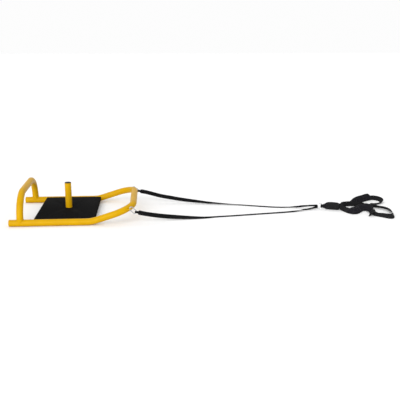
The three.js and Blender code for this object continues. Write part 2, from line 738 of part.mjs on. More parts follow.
// A sewn eye round a rod at distance zero: the tail, the fold and the leaving layer
function sewnEye({ rod, looseness, insideReach, outsideReach, eye, band, neck, sewn }) {
  const fold = rod + looseness + eye.thick / 2;
  const foldCentre = fold - insideReach - eye.thick / 2;
  const layer = (band.thick + layerGap) / 2;
  const half = [{ distance: neck + sewn, height: layer, ...band }];
  for (let i = 0; i <= neckSteps; i++) {
    const share = i / neckSteps;
    const gather = smooth(Math.min(1, share / gatherShare));
    half.push({
      distance: THREE.MathUtils.lerp(neck, outsideReach, share),
      height: THREE.MathUtils.lerp(layer, fold, smooth(share)),
      wide: THREE.MathUtils.lerp(band.wide, eye.wide, gather),
      thick: THREE.MathUtils.lerp(band.thick, eye.thick, gather),
    });
  }
  for (let i = 0; i <= foldSteps; i++) {
    const turn = (i / foldSteps) * (Math.PI / 2);
    const distance = foldCentre - fold * Math.sin(turn);
    half.push({ distance, height: fold * Math.cos(turn), ...eye });
  }
  const tail = half.map((mark) => ({ ...mark, height: -mark.height }));
  return [...tail, ...half.slice(0, -1).reverse()];
}

// How far a band of half width h must stay inside and outside a ring's rod, from its middle line
function ringReaches(bendRadius, rod, low, high) {
  const inner = bendRadius - rod;
  const outer = bendRadius + rod;
  const hub = Math.sqrt(bendRadius ** 2 - ((low + high) / 2) ** 2);
  const widest = Math.max(Math.abs(low), Math.abs(high));
  const nearest = low * high < 0 ? 0 : Math.min(Math.abs(low), Math.abs(high));
  return {
    hub,
    insideReach: hub - Math.sqrt(inner ** 2 - widest ** 2) + eyeSlack,
    outsideReach: Math.sqrt(outer ** 2 - nearest ** 2) - hub + eyeSlack,
  };
}

const strapBand = { wide: strapWidth, thick: strapThickness };
const ringBand = { wide: eyeWidth, thick: eyeThickness };
const ringCentre = vec(ringPlace, ringOffset, ringRadius + ringRod + floorGap);

// A tow strap from its hook to the ring, with a sewn eye at both ends
function towStrap(places, route, ringLow) {
  const hookReach = ringReaches(hookBendRadius, hookRod, -hookEyeWidth / 2, hookEyeWidth / 2);
  const ringReach = ringReaches(ringRadius, ringRod, ringLow, ringLow + eyeWidth);
  const hub = places.strapHub;
  const ringHub = ringCentre.clone().add(vec(-ringReach.hub, 0, ringLow + eyeWidth / 2));
  const straight = hub.clone().addScaledVector(places.strapAlong, hookNeck + sewnLength);
  const ringLean = route[route.length - 1][3];
  const course = new Course([
    [hub.x, hub.y, hub.z, 0], [straight.x, straight.y, straight.z, 0], ...route,
    [ringHub.x, ringHub.y, ringHub.z, ringLean],
  ]);
  const first = sewnEye({
    rod: hookRod, looseness: touchGap, ...hookReach,
    eye: { wide: hookEyeWidth, thick: eyeThickness }, band: strapBand,
    neck: hookNeck, sewn: sewnLength,
  });
  const last = sewnEye({
    rod: ringRod, looseness: eyeSlack, ...ringReach,
    eye: ringBand, band: ringBand, neck: ringNeck, sewn: ringSewn,
  }).reverse().map((mark) => ({ ...mark, distance: course.length - mark.distance }));
  const freeStart = hookNeck + sewnLength;
  const freeEnd = course.length - ringNeck - ringSewn;
  const middle = course.stepsOver(freeStart, freeEnd, strapPitch).slice(1, -1).map((distance) => {
    const share = (distance - freeStart) / (freeEnd - freeStart);
    const gather = smooth(Math.max(0, 1 - (freeEnd - distance) / ringGather));
    const layer = share < 0.5 ? first[first.length - 1].height : last[0].height;
    return {
      distance,
      height: layer * (2 * share - 1) ** layerFade,
      wide: THREE.MathUtils.lerp(strapBand.wide, ringBand.wide, gather),
      thick: THREE.MathUtils.lerp(strapBand.thick, ringBand.thick, gather),
    };
  });
  const marks = [...first, ...middle, ...last];
  const stations = marks.map((m) => course.station(m.distance, m.height, m.wide, m.thick));
  return sweep(webbingSection, faceAlong(stations));
}

addPiece('near_tow_strap', towStrap(corners.near, nearTowRoute, nearEyeLow), blackWebbing);
addPiece('far_tow_strap', towStrap(corners.far, farTowRoute, farEyeLow), blackWebbing);

addPiece('tow_ring', new THREE.TorusGeometry(ringRadius, ringRod, rodSides, ringSides).rotateX(Math.PI / 2),
  chromePlate).position.copy(ringCentre);

// Yoke: the sewn stack where the shoulder straps meet
const yokeStart = ringPlace + ringRadius + leaderLength;
const yokeFront = yokeStart + yokeLength;
const yokeStations = yokeShares.map(([share, highShare, thickShare]) => {
  const wide = yokeHeight * highShare;
  const at = vec(
    yokeStart + share * yokeLength,
    ringCentre.y - yokeDrift * smooth(share),
    Math.max(THREE.MathUtils.lerp(ringCentre.z, restHeight(wide, 0, 0), share), restHeight(wide, 0, 0)),
  );
  return { at, along: vec(1, 0, 0), across: up.clone(), wide, thick: yokeThickness * thickShare };
});

// Leader: webbing sewn through the ring, both layers running into the yoke
function harnessLeader() {
  const half = leaderEyeWidth / 2;
  const reach = ringReaches(ringRadius, ringRod, -half, half);
  const start = ringCentre.clone().add(vec(reach.hub, 0, 0));
  const end = yokeStations[0].at.clone().add(vec(-touchGap, 0, 0));
  const course = new Course([[start.x, start.y, start.z, 0], [end.x, end.y, end.z, 0]]);
  const marks = sewnEye({
    rod: ringRod, looseness: touchGap, ...reach,
    eye: { wide: leaderEyeWidth, thick: eyeThickness },
    band: { wide: leaderWidth, thick: harnessThickness },
    neck: leaderNeck, sewn: course.length - leaderNeck,
  });
  const stations = marks.map((m) => course.station(m.distance, m.height, m.wide, m.thick));
  return sweep(webbingSection, faceAlong(stations));
}

// A course that lies on the floor in front of the yoke
function harnessCourse(shares, origin) {
  return new Course(shares.map(([x, y, lean, lift]) => [
    origin.x + x * harnessSpread, origin.y + y * harnessSpread, lift * harnessSpread, lean,
  ]), true);
}

// Webbing along one stretch of a course
function harnessBand(course, start, end) {
  const stations = course.stepsOver(start, end, bandPitch).map(
    (distance) => course.station(distance, 0, harnessWidth, harnessThickness));
  return sweep(webbingSection, faceAlong(stations));
}

// A padded stretch, drawn in at its ends and at the seams sewn across it
function shoulderPad(course, start, end) {
  const seams = Math.round((end - start) / padSeamPitch);
  const steps = seams * padStepsPerSeam;
  const stations = [];
  for (let i = 0; i <= steps; i++) {
    const share = i / steps;
    const fromEnd = Math.min(1, (Math.min(share, 1 - share) * (end - start)) / padEndRound);
    const swell = Math.sqrt(Math.abs(Math.sin(share * seams * Math.PI)));
    const endShare = padEndShare + (1 - padEndShare) * Math.sin((fromEnd * Math.PI) / 2);
    const thick = padThickness * (padSeamShare + (1 - padSeamShare) * swell);
    stations.push(course.station(start + share * (end - start), 0, padWidth * endShare, thick));
  }
  return sweep(crownedSection(padEdgeShare, padStepsAcross), faceAlong(stations));
}

// Slider: two bars in front of the webbing and one behind it, joined past both its edges.
// It is built with x along the webbing, y across it and z square to it.
function slider() {
  const inner = harnessThickness / 2 + sliderGap;
  const outer = inner + sliderSheet;
  const rimInner = harnessWidth / 2 + sliderGap;
  const halfLength = sliderLength / 2;
  const solids = [-1, 1].map((side) => {
    const rim = [side * rimInner, side * (rimInner + sliderRim)];
    return solidOf(boxBetween(
      vec(-halfLength, Math.min(...rim), -outer), vec(halfLength, Math.max(...rim), outer)));
  });
  for (const place of [-1, 0, 1]) {
    const middle = place * (halfLength - sliderBar / 2);
    const [low, high] = place === 0 ? [-outer, -inner] : [inner, outer];
    solids.push(solidOf(boxBetween(
      vec(middle - sliderBar / 2, -rimInner - sliderRim / 2, low),
      vec(middle + sliderBar / 2, rimInner + sliderRim / 2, high))));
  }
  return geometryOf(solids.reduce((whole, solid) => whole.add(solid)));
}

// Stands a piece on a station of a course
function atStation(geometry, { at, along, across }) {
  const square = vec(0, 0, 0).crossVectors(along, across);
  return geometry.applyMatrix4(new THREE.Matrix4().makeBasis(along, across, square).setPosition(at));
}

// Tail: the spare webbing that leaves the near slider and curls back
function adjusterTail({ at, along, across }) {
  const square = vec(0, 0, 0).crossVectors(along, across);
  const side = square.setZ(0);
  const start = at.clone().setZ(0)
    .addScaledVector(along, sliderLength / 2 + touchGap)
    .addScaledVector(side, (harnessThickness + tailGap) / side.lengthSq());
  const heading = Math.atan2(along.y, along.x);
  const turned = tailShares.map(([x, y, lean, lift]) => [
    x * Math.cos(heading) + y * Math.sin(heading),
    x * Math.sin(heading) - y * Math.cos(heading), lean, lift,
  ]);
  const course = harnessCourse(turned, start);
  return harnessBand(course, 0, course.length);
}

// The loops of the harness: lead, pad and arm webbing along a single course each
const loops = {
  far: {
    shares: farStrandShares, lead: farLeadLength,
    sliderAt: (course) => course.length - farSliderReach,
  },
  near: {
    shares: nearStrandShares, lead: nearLeadLength,
    sliderAt: (course, armStart) => armStart + nearSliderPlace,
  },
};

addPiece('harness_leader', harnessLeader(), blackWebbing);
addPiece('harness_yoke', sweep(flatSection(...yokeEaseShares), faceAlong(yokeStations)), blackWebbing);
for (const [side, { shares, lead, sliderAt }] of Object.entries(loops)) {
  const course = harnessCourse(shares, vec(yokeFront + touchGap, ringCentre.y, 0));
  const padStart = lead + touchGap;
  const armStart = padStart + padLength + touchGap;
  const sliderStation = course.station(
    sliderAt(course, armStart), 0, harnessWidth, harnessThickness);
  addPiece(`${side}_lead_webbing`, harnessBand(course, 0, lead), blackWebbing);
  addPiece(`${side}_shoulder_pad`, shoulderPad(course, padStart, padStart + padLength), paddedCloth);
  addPiece(`${side}_arm_webbing`, harnessBand(course, armStart, course.length), blackWebbing);
  addPiece(`${side}_slider`, atStation(slider(), sliderStation), blackPlastic);
  if (side === 'near') addPiece('adjuster_tail', adjusterTail(sliderStation), blackWebbing);
}

// The middle of the whole footprint is the origin
sled.updateMatrixWorld(true);
const whole = new THREE.Box3();
const onStraps = ['tow_strap', 'hook_body', 'hook_gate', 'gate_pin', 'tow_ring'];
for (const piece of sled.children) {
  if (!onStraps.some((word) => piece.name.endsWith(word))) whole.expandByObject(piece, true);
}
const middle = whole.getCenter(vec(0, 0, 0));
sled.position.set(-middle.x, -middle.y, -whole.min.z);

export default sled;
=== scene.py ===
# Drag sled with tow straps and a shoulder harness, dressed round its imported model.
# Lengths are in metres, in the model's frame: +X is the way the sled is pulled, -Y is the
# near side, and the floor is at Z = 0.

import math
from bisect import bisect_left, bisect_right
from itertools import accumulate
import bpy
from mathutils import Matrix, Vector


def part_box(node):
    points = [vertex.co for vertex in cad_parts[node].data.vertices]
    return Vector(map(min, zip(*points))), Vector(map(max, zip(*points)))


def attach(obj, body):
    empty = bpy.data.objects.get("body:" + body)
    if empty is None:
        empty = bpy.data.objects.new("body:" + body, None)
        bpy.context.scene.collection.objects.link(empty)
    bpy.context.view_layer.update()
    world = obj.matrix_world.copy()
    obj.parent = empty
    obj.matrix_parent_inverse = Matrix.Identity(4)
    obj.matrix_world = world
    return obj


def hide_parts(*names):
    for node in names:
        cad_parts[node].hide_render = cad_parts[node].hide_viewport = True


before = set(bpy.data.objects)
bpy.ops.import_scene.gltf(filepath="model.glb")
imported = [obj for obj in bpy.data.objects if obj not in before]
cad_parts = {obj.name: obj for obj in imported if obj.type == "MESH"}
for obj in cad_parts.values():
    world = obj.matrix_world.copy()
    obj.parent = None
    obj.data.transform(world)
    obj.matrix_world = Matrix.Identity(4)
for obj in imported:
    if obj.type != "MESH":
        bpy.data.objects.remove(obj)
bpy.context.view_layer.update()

from types import SimpleNamespace

import bmesh
import bpy
from bpy.props import FloatProperty, FloatVectorProperty, PointerProperty
from mathutils import Matrix, Quaternion, Vector

bl_info = {
    "name": "Drag Sled",
    "version": (1, 0, 0),
    "blender": (4, 5, 0),
    "location": "View3D > Sidebar > Drag Sled",
    "description": "Dresses a drag sled, its tow straps and its shoulder harness",
    "category": "Object",
}

UP = Vector((0, 0, 1))
FORWARD = Vector((1, 0, 0))
FARWARD = Vector((0, 1, 0))
SIDES = {"near": -1, "far": 1}

# The sled's own places are measured from the rear ends of its rails
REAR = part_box("near_rail_cap")[0].x


def size(name, default, description):
    """A length that a user can set"""
    return FloatProperty(
        name=name, description=description, default=default, min=0.0, precision=4, unit="LENGTH")


def angle(name, degrees, description):
    """An angle that a user can set"""
    return FloatProperty(
        name=name, description=description, default=math.radians(degrees), unit="ROTATION")


def colour(name, default, description):
    """A colour that a user can set"""
    return FloatVectorProperty(
        name=name, description=description, default=default, min=0.0, max=1.0, subtype="COLOR")


class FrameSizes(bpy.types.PropertyGroup):
    """Bent frame, push hoop, deck and weight post"""

    tube_radius: size("Tube Radius", 0.024, "Radius of the bent tubes and of the weight post")
    rail_spacing: size("Rail Spacing", 0.640, "Between the middles of the two rails")
    rail_length: size("Rail Length", 0.536, "Straight length of a rail, up to its nose bend")
    nose_bend_radius: size("Nose Bend Radius", 0.242, "Bend of the rails at the nose")
    nose_angle: angle("Nose Angle", 17.6, "Slope of the nose")
    nose_straight: size("Nose Straight", 0.123, "Straight length of the nose")
    corner_radius: size("Corner Radius", 0.148, "Bend of the front corners")
    cap_thickness: size("Rail Cap Thickness", 0.003, "Welded disc in the end of a rail")
    cap_chamfer: size("Rail Cap Chamfer", 0.001, "Chamfer of the welded disc")
    hoop_place: size("Hoop Place", 0.078, "From the rear ends of the rails to the push hoop")
    hoop_height: size("Hoop Height", 0.217, "From the floor to the axis of the hoop's top bar")
    hoop_leg_height: size("Hoop Leg Height", 0.049, "From the floor to where its bends start")
    deck_top: size("Deck Height", 0.045, "From the floor to the top of the deck")
    post_place: size("Post Place", 0.380, "From the rear ends of the rails to the post")
    post_height: size("Post Height", 0.189, "Of the post's tube above the deck")
    post_foot: size("Post Foot", 0.042, "Height of the post's lower end")
    cap_rim: size("Post Cap Rim", 0.004, "Height of the cap above the tube")
    cap_inset: size("Post Cap Inset", 0.0008, "From the tube's outside to the cap's")
    joint_gap: size("Joint Gap", 0.0003, "Between pieces that meet")
    weld_radius: size("Weld Radius", 0.0022, "Of the weld beads")


class HardwareSizes(bpy.types.PropertyGroup):
    """Eye lugs, snap hooks and the tow ring"""

    lug_angle: angle("Lug Angle", 42, "Place of the eye lug round the corner bend")
    lug_rod: size("Lug Rod Radius", 0.004, "Rod of the eye lugs")
    lug_bend_radius: size("Lug Bend Radius", 0.015, "Bend of the eye lugs")
    lug_stand_off: size("Lug Stand-off", 0.005, "From the tube to the middle of the lug's bend")
    lug_hook_angle: angle("Hook Place", 42, "Where on the eye the hook hangs")
    link_gap: size("Link Gap", 0.0006, "Between the eye and the hook")
    hook_length: size("Hook Length", 0.066, "Overall length of a snap hook")
    hook_rod: size("Hook Rod Radius", 0.0035, "Rod of the snap hooks")
    hook_bend_radius: size("Hook Bend Radius", 0.013, "Bend of the snap hooks")
    hook_heading: angle("Hook Heading", 10, "Turn of the hooks towards the middle")
    hook_nose: size("Hook Nose", 0.017, "Place of the nose along the hook")
    hook_pin: size("Hook Pin", 0.041, "Place of the gate's pin along the hook")
    gate_radius: size("Gate Radius", 0.003, "Rod of the gate")
    barrel_radius: size("Barrel Radius", 0.0032, "Hinge end of the gate")
    pin_radius: size("Pin Radius", 0.00125, "Pin of the gate")
    tang_thickness: size("Tang Thickness", 0.003, "Hinge tang inside the gate")
    tongue_length: size("Tongue Length", 0.0045, "Latch tongue inside the gate")
    tongue_thickness: size("Tongue Thickness", 0.0024, "Latch tongue inside the gate")
    gate_gap: size("Gate Gap", 0.0005, "Between the nose and the gate")
    ring_place: size("Ring Place", 2.285, "From the rear ends of the rails to the ring")
    ring_offset: FloatProperty(
        name="Ring Offset", description="Of the ring from the sled's middle line",
        default=-0.025, unit="LENGTH")
    ring_radius: size("Ring Radius", 0.023, "To the middle of the ring's rod")
    ring_rod: size("Ring Rod Radius", 0.003, "Rod of the ring")
    floor_gap: size("Floor Gap", 0.0004, "Under pieces that lie on the floor")


class StrapSizes(bpy.types.PropertyGroup):
    """Tow straps with a sewn eye at both ends"""

    width: size("Width", 0.032, "Of the webbing")
    thickness: size("Thickness", 0.002, "Of the webbing")
    hook_eye_width: size("Hook Eye Width", 0.015, "Of the webbing gathered in a hook")
    ring_eye_width: size("Ring Eye Width", 0.012, "Of the webbing gathered in the ring")
    eye_thickness: size("Eye Thickness", 0.0034, "Of the gathered webbing")
    eye_slack: size("Eye Slack", 0.0016, "Between the fold and the rod")
    eyes_apart: size("Eyes Apart", 0.0014, "Between the two eyes in the ring")
    hook_neck: size("Hook Neck", 0.018, "From the hook's rod to where the layers meet")
    hook_sewn: size("Hook Sewing", 0.050, "Sewn length at the hook")
    ring_neck: size("Ring Neck", 0.030, "From the ring's rod to where the layers meet")
    ring_sewn: size("Ring Sewing", 0.034, "Sewn length at the ring")
    ring_gather: size("Ring Gather", 0.130, "Length over which a strap draws in at the ring")
    layer_gap: size("Layer Gap", 0.0004, "Between two layers of webbing")
    stitch_length: size("Stitch Length", 0.0038, "Of one stitch of thread")
    stitch_radius: size("Stitch Radius", 0.00045, "Of the thread")


class HarnessSizes(bpy.types.PropertyGroup):
    """Leader, yoke, shoulder straps and adjusters"""

    leader_length: size("Leader Length", 0.020, "From the ring to the yoke")
    leader_eye_width: size("Leader Eye Width", 0.024, "Of the webbing in the ring")
    leader_width: size("Leader Width", 0.036, "Of the webbing at the yoke")
    leader_neck: size("Leader Neck", 0.013, "Length over which the layers meet")
    yoke_length: size("Yoke Length", 0.106, "Of the sewn stack")
    yoke_height: size("Yoke Height", 0.060, "Of the sewn stack")
    yoke_thickness: size("Yoke Thickness", 0.030, "Of the sewn stack")
    yoke_drift: size("Yoke Drift", 0.030, "Of the sewn stack towards the near side")
    spread: size("Spread", 0.410, "Reach of the harness in front of the yoke")
    width: size("Webbing Width", 0.038, "Of the harness webbing")
    thickness: size("Webbing Thickness", 0.0024, "Of the harness webbing")
    pad_width: size("Pad Width", 0.058, "Of a shoulder pad")
    pad_thickness: size("Pad Thickness", 0.013, "Of a shoulder pad")
    pad_length: size("Pad Length", 0.268, "Of a shoulder pad")
    pad_seam_pitch: size("Pad Seam Pitch", 0.044, "Between the seams sewn across a pad")
    pad_end_round: size("Pad End", 0.040, "Length over which a pad's end draws in")
    binding_width: size("Binding Width", 0.009, "Of the tape round a pad's edge")
    binding_thickness: size("Binding Thickness", 0.0011, "Of the tape round a pad's edge")
    near_lead: size("Near Lead", 0.086, "From the yoke to the near pad")
    far_lead: size("Far Lead", 0.174, "From the yoke to the far pad")
    slider_length: size("Slider Length", 0.026, "Of a strap adjuster")
    slider_bar: size("Slider Bar", 0.005, "Width of each bar of an adjuster")
    slider_sheet: size("Slider Sheet", 0.0024, "Thickness of an adjuster's bars")
    slider_rim: size("Slider Rim", 0.0032, "Of an adjuster outside the webbing's edges")
    slider_gap: size("Slider Gap", 0.0008, "Round the webbing in an adjuster")
    tail_gap: size("Tail Gap", 0.0018, "Between the tail and the webbing beside it")
    near_slider: size("Near Slider Place", 0.031, "Along the near arm webbing, from its pad")
    far_slider: size("Far Slider Reach", 0.3679, "Along the far arm webbing, from the yoke")


class Colours(bpy.types.PropertyGroup):
    """Colours of the paint, the metals and the cloth"""

    yellow: colour("Yellow", (0.57, 0.322, 0.0005), "Powder coat of the frame")
    deep_yellow: colour("Deep Yellow", (0.52, 0.28, 0.0006), "Thinner patches of the powder coat")
    black: colour("Black", (0.0030, 0.0030, 0.0032), "Powder coat of the deck")
    plastic: colour("Plastic", (0.012, 0.012, 0.013), "Moulded plastic")
    zinc: colour("Zinc", (0.52, 0.53, 0.55), "Zinc plate of the hardware")
    chrome: colour("Chrome", (0.80, 0.81, 0.82), "Plate of the ring")
    webbing: colour("Webbing", (0.0030, 0.0030, 0.0034), "Yarn of the webbing")
    # A painted highlight on the tops of the webbing's ribs, also used for paler faded patches
    webbing_high: colour("Webbing High", (0.0075, 0.0075, 0.0082), "Worn tops of the webbing's ribs")
    cloth: colour("Cloth", (0.0034, 0.0032, 0.0046), "Cover of the pads")
    # A painted highlight on the pads' cover: on the tops of its weave and in sheen streaks along it
    cloth_high: colour("Cloth High", (0.0125, 0.0118, 0.0152), "Rubbed places of the pads")
    # A painted highlight on the tops of the harness webbing's ribs, also used for paler faded patches
    harness_high: colour("Harness High", (0.021, 0.021, 0.022), "Worn tops of the harness's ribs")
    thread: colour("Thread", (0.014, 0.014, 0.0155), "Sewing thread")
    floor: colour("Floor", (0.91, 0.91, 0.91), "Pale floor")


class Settings:
    """One group of the scene's sizes or colours, read when they are used"""

    def __init__(self, group):
        self.group = group

    def __getattr__(self, name):
        return getattr(getattr(bpy.context.scene, self.group), name)


sled = Settings("sled_frame")
hardware = Settings("sled_hardware")
straps = Settings("sled_straps")
harness = Settings("sled_harness")
colours = Settings("sled_colours")


# Places of the tow straps between their sewn ends: x from the rails' rear ends, y, z and the
# lean in degrees
NEAR_TOW_ROUTE = [
    (1.070, -0.262, 0.040, 12), (1.150, -0.245, 0.027, 32), (1.230, -0.229, 0.017, 52),
    (1.305, -0.217, 0.010, 68), (1.384, -0.206, 0.005, 80), (1.450, -0.188, 0.0026, 88),
    (1.515, -0.174, 0.0016, 90), (1.590, -0.163, 0.0015, 90), (1.660, -0.152, 0.0015, 90),
    (1.780, -0.131, 0.0015, 90), (1.900, -0.111, 0.0015, 90), (2.010, -0.093, 0.0015, 90),
    (2.070, -0.080, 0.0016, 93), (2.125, -0.0675, 0.0026, 106), (2.162, -0.057, 0.0055, 142),
    (2.198, -0.0456, 0.009, 180),
]
FAR_TOW_ROUTE = [
    (1.070, 0.264, 0.054, -2), (1.150, 0.247, 0.042, -6), (1.230, 0.230, 0.031, -12),
    (1.305, 0.214, 0.0235, -22), (1.390, 0.198, 0.016, -36), (1.460, 0.182, 0.011, -48),
    (1.530, 0.168, 0.008, -60), (1.610, 0.153, 0.005, -70), (1.693, 0.135, 0.003, -80),
    (1.780, 0.108, 0.0016, -88), (1.868, 0.080, 0.0015, -90), (1.940, 0.058, 0.0015, -90),
    (2.013, 0.046, 0.0016, -86), (2.070, 0.042, 0.0035, -74), (2.125, 0.031, 0.009, -54),
    (2.162, 0.019, 0.016, -26), (2.198, 0.0048, 0.022, 0),
]
TOW_ROUTES = {"near": NEAR_TOW_ROUTE, "far": FAR_TOW_ROUTE}
# How far the hooks and the starts of the straps dip below level, in degrees
HOOK_DIPS = {"near": 45, "far": 35}
STRAP_DIPS = {"near": 15, "far": 9}
# Lower edge of the near strap's eye, from the height of the ring's middle
NEAR_EYE_LOW = -0.0144

# Where the loops of the harness lie, as shares of its spread from the yoke's front:
# x, y, the lean in degrees and the lift off the floor
FAR_LOOP_SHARES = [
    (0, -0.048, 0, 0.027), (0.02, -0.048, 0, 0.027), (0.052, 0.02, 0, 0.016),
    (0.09, 0.11, 0, 0.006), (0.145, 0.168, 0, 0), (0.22, 0.187, 0, 0), (0.29, 0.196, 0, 0),
    (0.35, 0.2185, 4, 0), (0.4554, 0.331, 4, 0), (0.5988, 0.4434, 5, 0), (0.7354, 0.545, 7, 0),
    (0.8556, 0.598, 14, 0), (0.93, 0.562, 22, 0), (0.972, 0.49, 32, 0), (0.978, 0.42, 44, 0),
    (0.945, 0.355, 60, 0), (0.89, 0.305, 78, 0.004), (0.82, 0.272, 90, 0.0082),
    (0.75, 0.24, 90, 0.0082), (0.68, 0.208, 90, 0.0082), (0.61, 0.178, 74, 0.006),
    (0.545, 0.158, 48, 0), (0.48, 0.145, 22, 0), (0.42, 0.145, 4, 0), (0.36, 0.158, 0, 0),
    (0.29, 0.17, 0, 0), (0.22, 0.165, 0, 0), (0.155, 0.143, 0, 0), (0.105, 0.085, 0, 0.006),
    (0.066, 0.0, 0, 0.016), (0.02, -0.062, 0, 0.027), (0, -0.062, 0, 0.027),
]
NEAR_LOOP_SHARES = [
    (0, -0.1, 6, 0.012), (0.022, -0.102, 14, 0.012), (0.056, -0.146, 30, 0.004),
    (0.092, -0.214, 42, 0), (0.13, -0.285, 44, 0), (0.175, -0.333, 42, 0), (0.228, -0.338, 38, 0),
    (0.28, -0.29, 40, 0), (0.338, -0.216, 44, 0), (0.404, -0.156, 38, 0), (0.474, -0.148, 32, 0),
    (0.52, -0.19, 40, 0.006), (0.531, -0.25, 50, 0.0125), (0.531, -0.32, 50, 0.0125),
    (0.531, -0.395, 50, 0.0125), (0.541, -0.455, 56, 0.005), (0.579, -0.51, 58, 0),
    (0.641, -0.565, 50, 0), (0.709, -0.639, 40, 0), (0.77, -0.69, 30, 0), (0.821, -0.656, 26, 0),
    (0.872, -0.505, 30, 0), (0.904, -0.3, 38, 0), (0.8725, -0.122, 46, 0),
    (0.777, -0.0195, 48, 0), (0.653, 0.0195, 40, 0), (0.538, 0.007, 24, 0), (0.433, -0.036, 0, 0),
    (0.35, -0.1, -26, 0), (0.286, -0.168, -44, 0), (0.238, -0.215, -48, 0),
    (0.192, -0.235, -48, 0), (0.148, -0.216, -48, 0), (0.104, -0.168, -44, 0),
    (0.06, -0.114, -34, 0.004), (0.022, -0.084, -14, 0.012), (0, -0.084, -6, 0.012),
]
LOOP_SHARES = {"near": NEAR_LOOP_SHARES, "far": FAR_LOOP_SHARES}
# The adjuster's tail in the same shares, from where it leaves the adjuster
TAIL_SHARES = [
    (0, 0, 50, 0.0125), (0.02, 0, 50, 0.0125), (0.05, 0.005, 48, 0.009), (0.084, 0.024, 42, 0.003),
    (0.112, 0.056, 34, 0), (0.128, 0.096, 26, 0),
]
# Along the yoke: the share of its length, and its height and thickness there as shares
YOKE_SHARES = [
    (0, 0.6, 0.4), (0.06, 0.76, 0.66), (0.16, 0.93, 0.9), (0.34, 1, 1), (0.76, 1, 1),
    (0.93, 0.95, 1), (1, 0.86, 0.94),
]


# Materials

def wire(tree, made, inputs):
    """Links each named input of a node to a socket, or sets its value"""
    for name, value in inputs.items():
        if isinstance(value, bpy.types.NodeSocket):
            tree.links.new(value, made.inputs[name])
        else:
            made.inputs[name].default_value = value


def node(tree, kind, inputs=None, **settings):
    """A shader node with its settings, and each input set or linked"""
    made = tree.nodes.new(kind)
    for name, value in settings.items():
        setattr(made, name, value)
    wire(tree, made, inputs or {})
    return made


def shader_group(name, inputs, outputs):
    """An empty shader node group, what it is given and its output node. An input without a
    default is a vector, and every other socket is a number."""
    tree = bpy.data.node_groups.new(name, "ShaderNodeTree")
    for socket, default in inputs.items():
        kind = "NodeSocketVector" if default is None else "NodeSocketFloat"
        made = tree.interface.new_socket(name=socket, in_out="INPUT", socket_type=kind)
        if default is not None:
            made.default_value = default
    for socket in outputs:
        tree.interface.new_socket(name=socket, in_out="OUTPUT", socket_type="NodeSocketFloat")
    return tree, node(tree, "NodeGroupInput").outputs, node(tree, "NodeGroupOutput")


def mapped(tree, value, low, high, to_low=0.0, to_high=1.0):
    """A value mapped from one range to another"""
    made = node(tree, "ShaderNodeMapRange", {
        "Value": value, "From Min": low, "From Max": high, "To Min": to_low, "To Max": to_high})
    return made.outputs["Result"]


def maths(tree, operation, first, second=0.0):
    return node(tree, "ShaderNodeMath", {0: first, 1: second}, operation=operation).outputs[0]


def times(tree, first, second):
    return maths(tree, "MULTIPLY", first, second)


def plus(tree, first, second):
    return maths(tree, "ADD", first, second)


def noise(tree, vector, scale, detail, roughness=0.5, distortion=0.0):
    made = node(tree, "ShaderNodeTexNoise", {
        "Vector": vector, "Scale": scale, "Detail": detail, "Roughness": roughness,
        "Distortion": distortion})
    return made.outputs["Fac"]


def wave(tree, distance, pitch):
    """A sine wave with one crest in each pitch"""
    turns = maths(tree, "DIVIDE", distance, pitch)
    return maths(tree, "SINE", times(tree, turns, 2 * math.pi))


def separated(tree, vector):
    return node(tree, "ShaderNodeSeparateXYZ", {"Vector": vector}).outputs


def stretched(tree, vector, scale):
    return node(tree, "ShaderNodeMapping", {"Vector": vector, "Scale": scale}).outputs["Vector"]


def grain_group():
    """Fine pebbled surface, such as orange peel in paint or the skin of moulded plastic"""
    tree, given, result = shader_group(
        "Grain", {"Vector": None, "Scale": 900.0, "Coarse Share": 0.3}, ["Height"])
    fine = noise(tree, given["Vector"], given["Scale"], 3.0, 0.55)
    coarse_scale = times(tree, given["Scale"], 0.22)
    coarse = noise(tree, given["Vector"], coarse_scale, 1.0)
    blended = node(
        tree, "ShaderNodeMix", {"Factor": given["Coarse Share"], "A": fine, "B": coarse})
    wire(tree, result, {"Height": blended.outputs["Result"]})
    return tree


def patches_group():
    """Slow unevenness over a whole piece"""
    tree, given, result = shader_group(
        "Patches", {"Vector": None, "Scale": 12.0, "Contrast": 0.2}, ["Mask"])
    slow = noise(tree, given["Vector"], given["Scale"], 4.0, 0.6, 0.4)
    low = maths(tree, "SUBTRACT", 0.5, given["Contrast"])
    high = plus(tree, 0.5, given["Contrast"])
    wire(tree, result, {"Mask": mapped(tree, slow, low, high)})
    return tree


def dust_group():
    """Pale dust that settles on faces that look up"""
    tree, given, result = shader_group(
        "Dust", {"Vector": None, "Scale": 140.0, "Amount": 0.1}, ["Mask"])
    facing = node(tree, "ShaderNodeNewGeometry").outputs["Normal"]
    upward = mapped(tree, separated(tree, facing)["Z"], 0.3, 1.0)
    specks = noise(tree, given["Vector"], given["Scale"], 6.0, 0.7)
    lying = times(tree, upward, mapped(tree, specks, 0.42, 0.7))
    wire(tree, result, {"Mask": times(tree, lying, given["Amount"])})
    return tree


def scuffs_group():
    """Bare scuffs where a tube has slid over the floor"""
    tree, given, result = shader_group("Scuffs", {"Vector": None, "Reach": 0.004}, ["Mask"])
    low = mapped(tree, separated(tree, given["Vector"])["Z"], given["Reach"], 0.0)
    streaks = noise(tree, stretched(tree, given["Vector"], (14.0, 260.0, 60.0)), 1.0, 5.0)
    worn = mapped(tree, streaks, 0.45, 0.62)
    wire(tree, result, {"Mask": times(tree, low, worn)})
    return tree


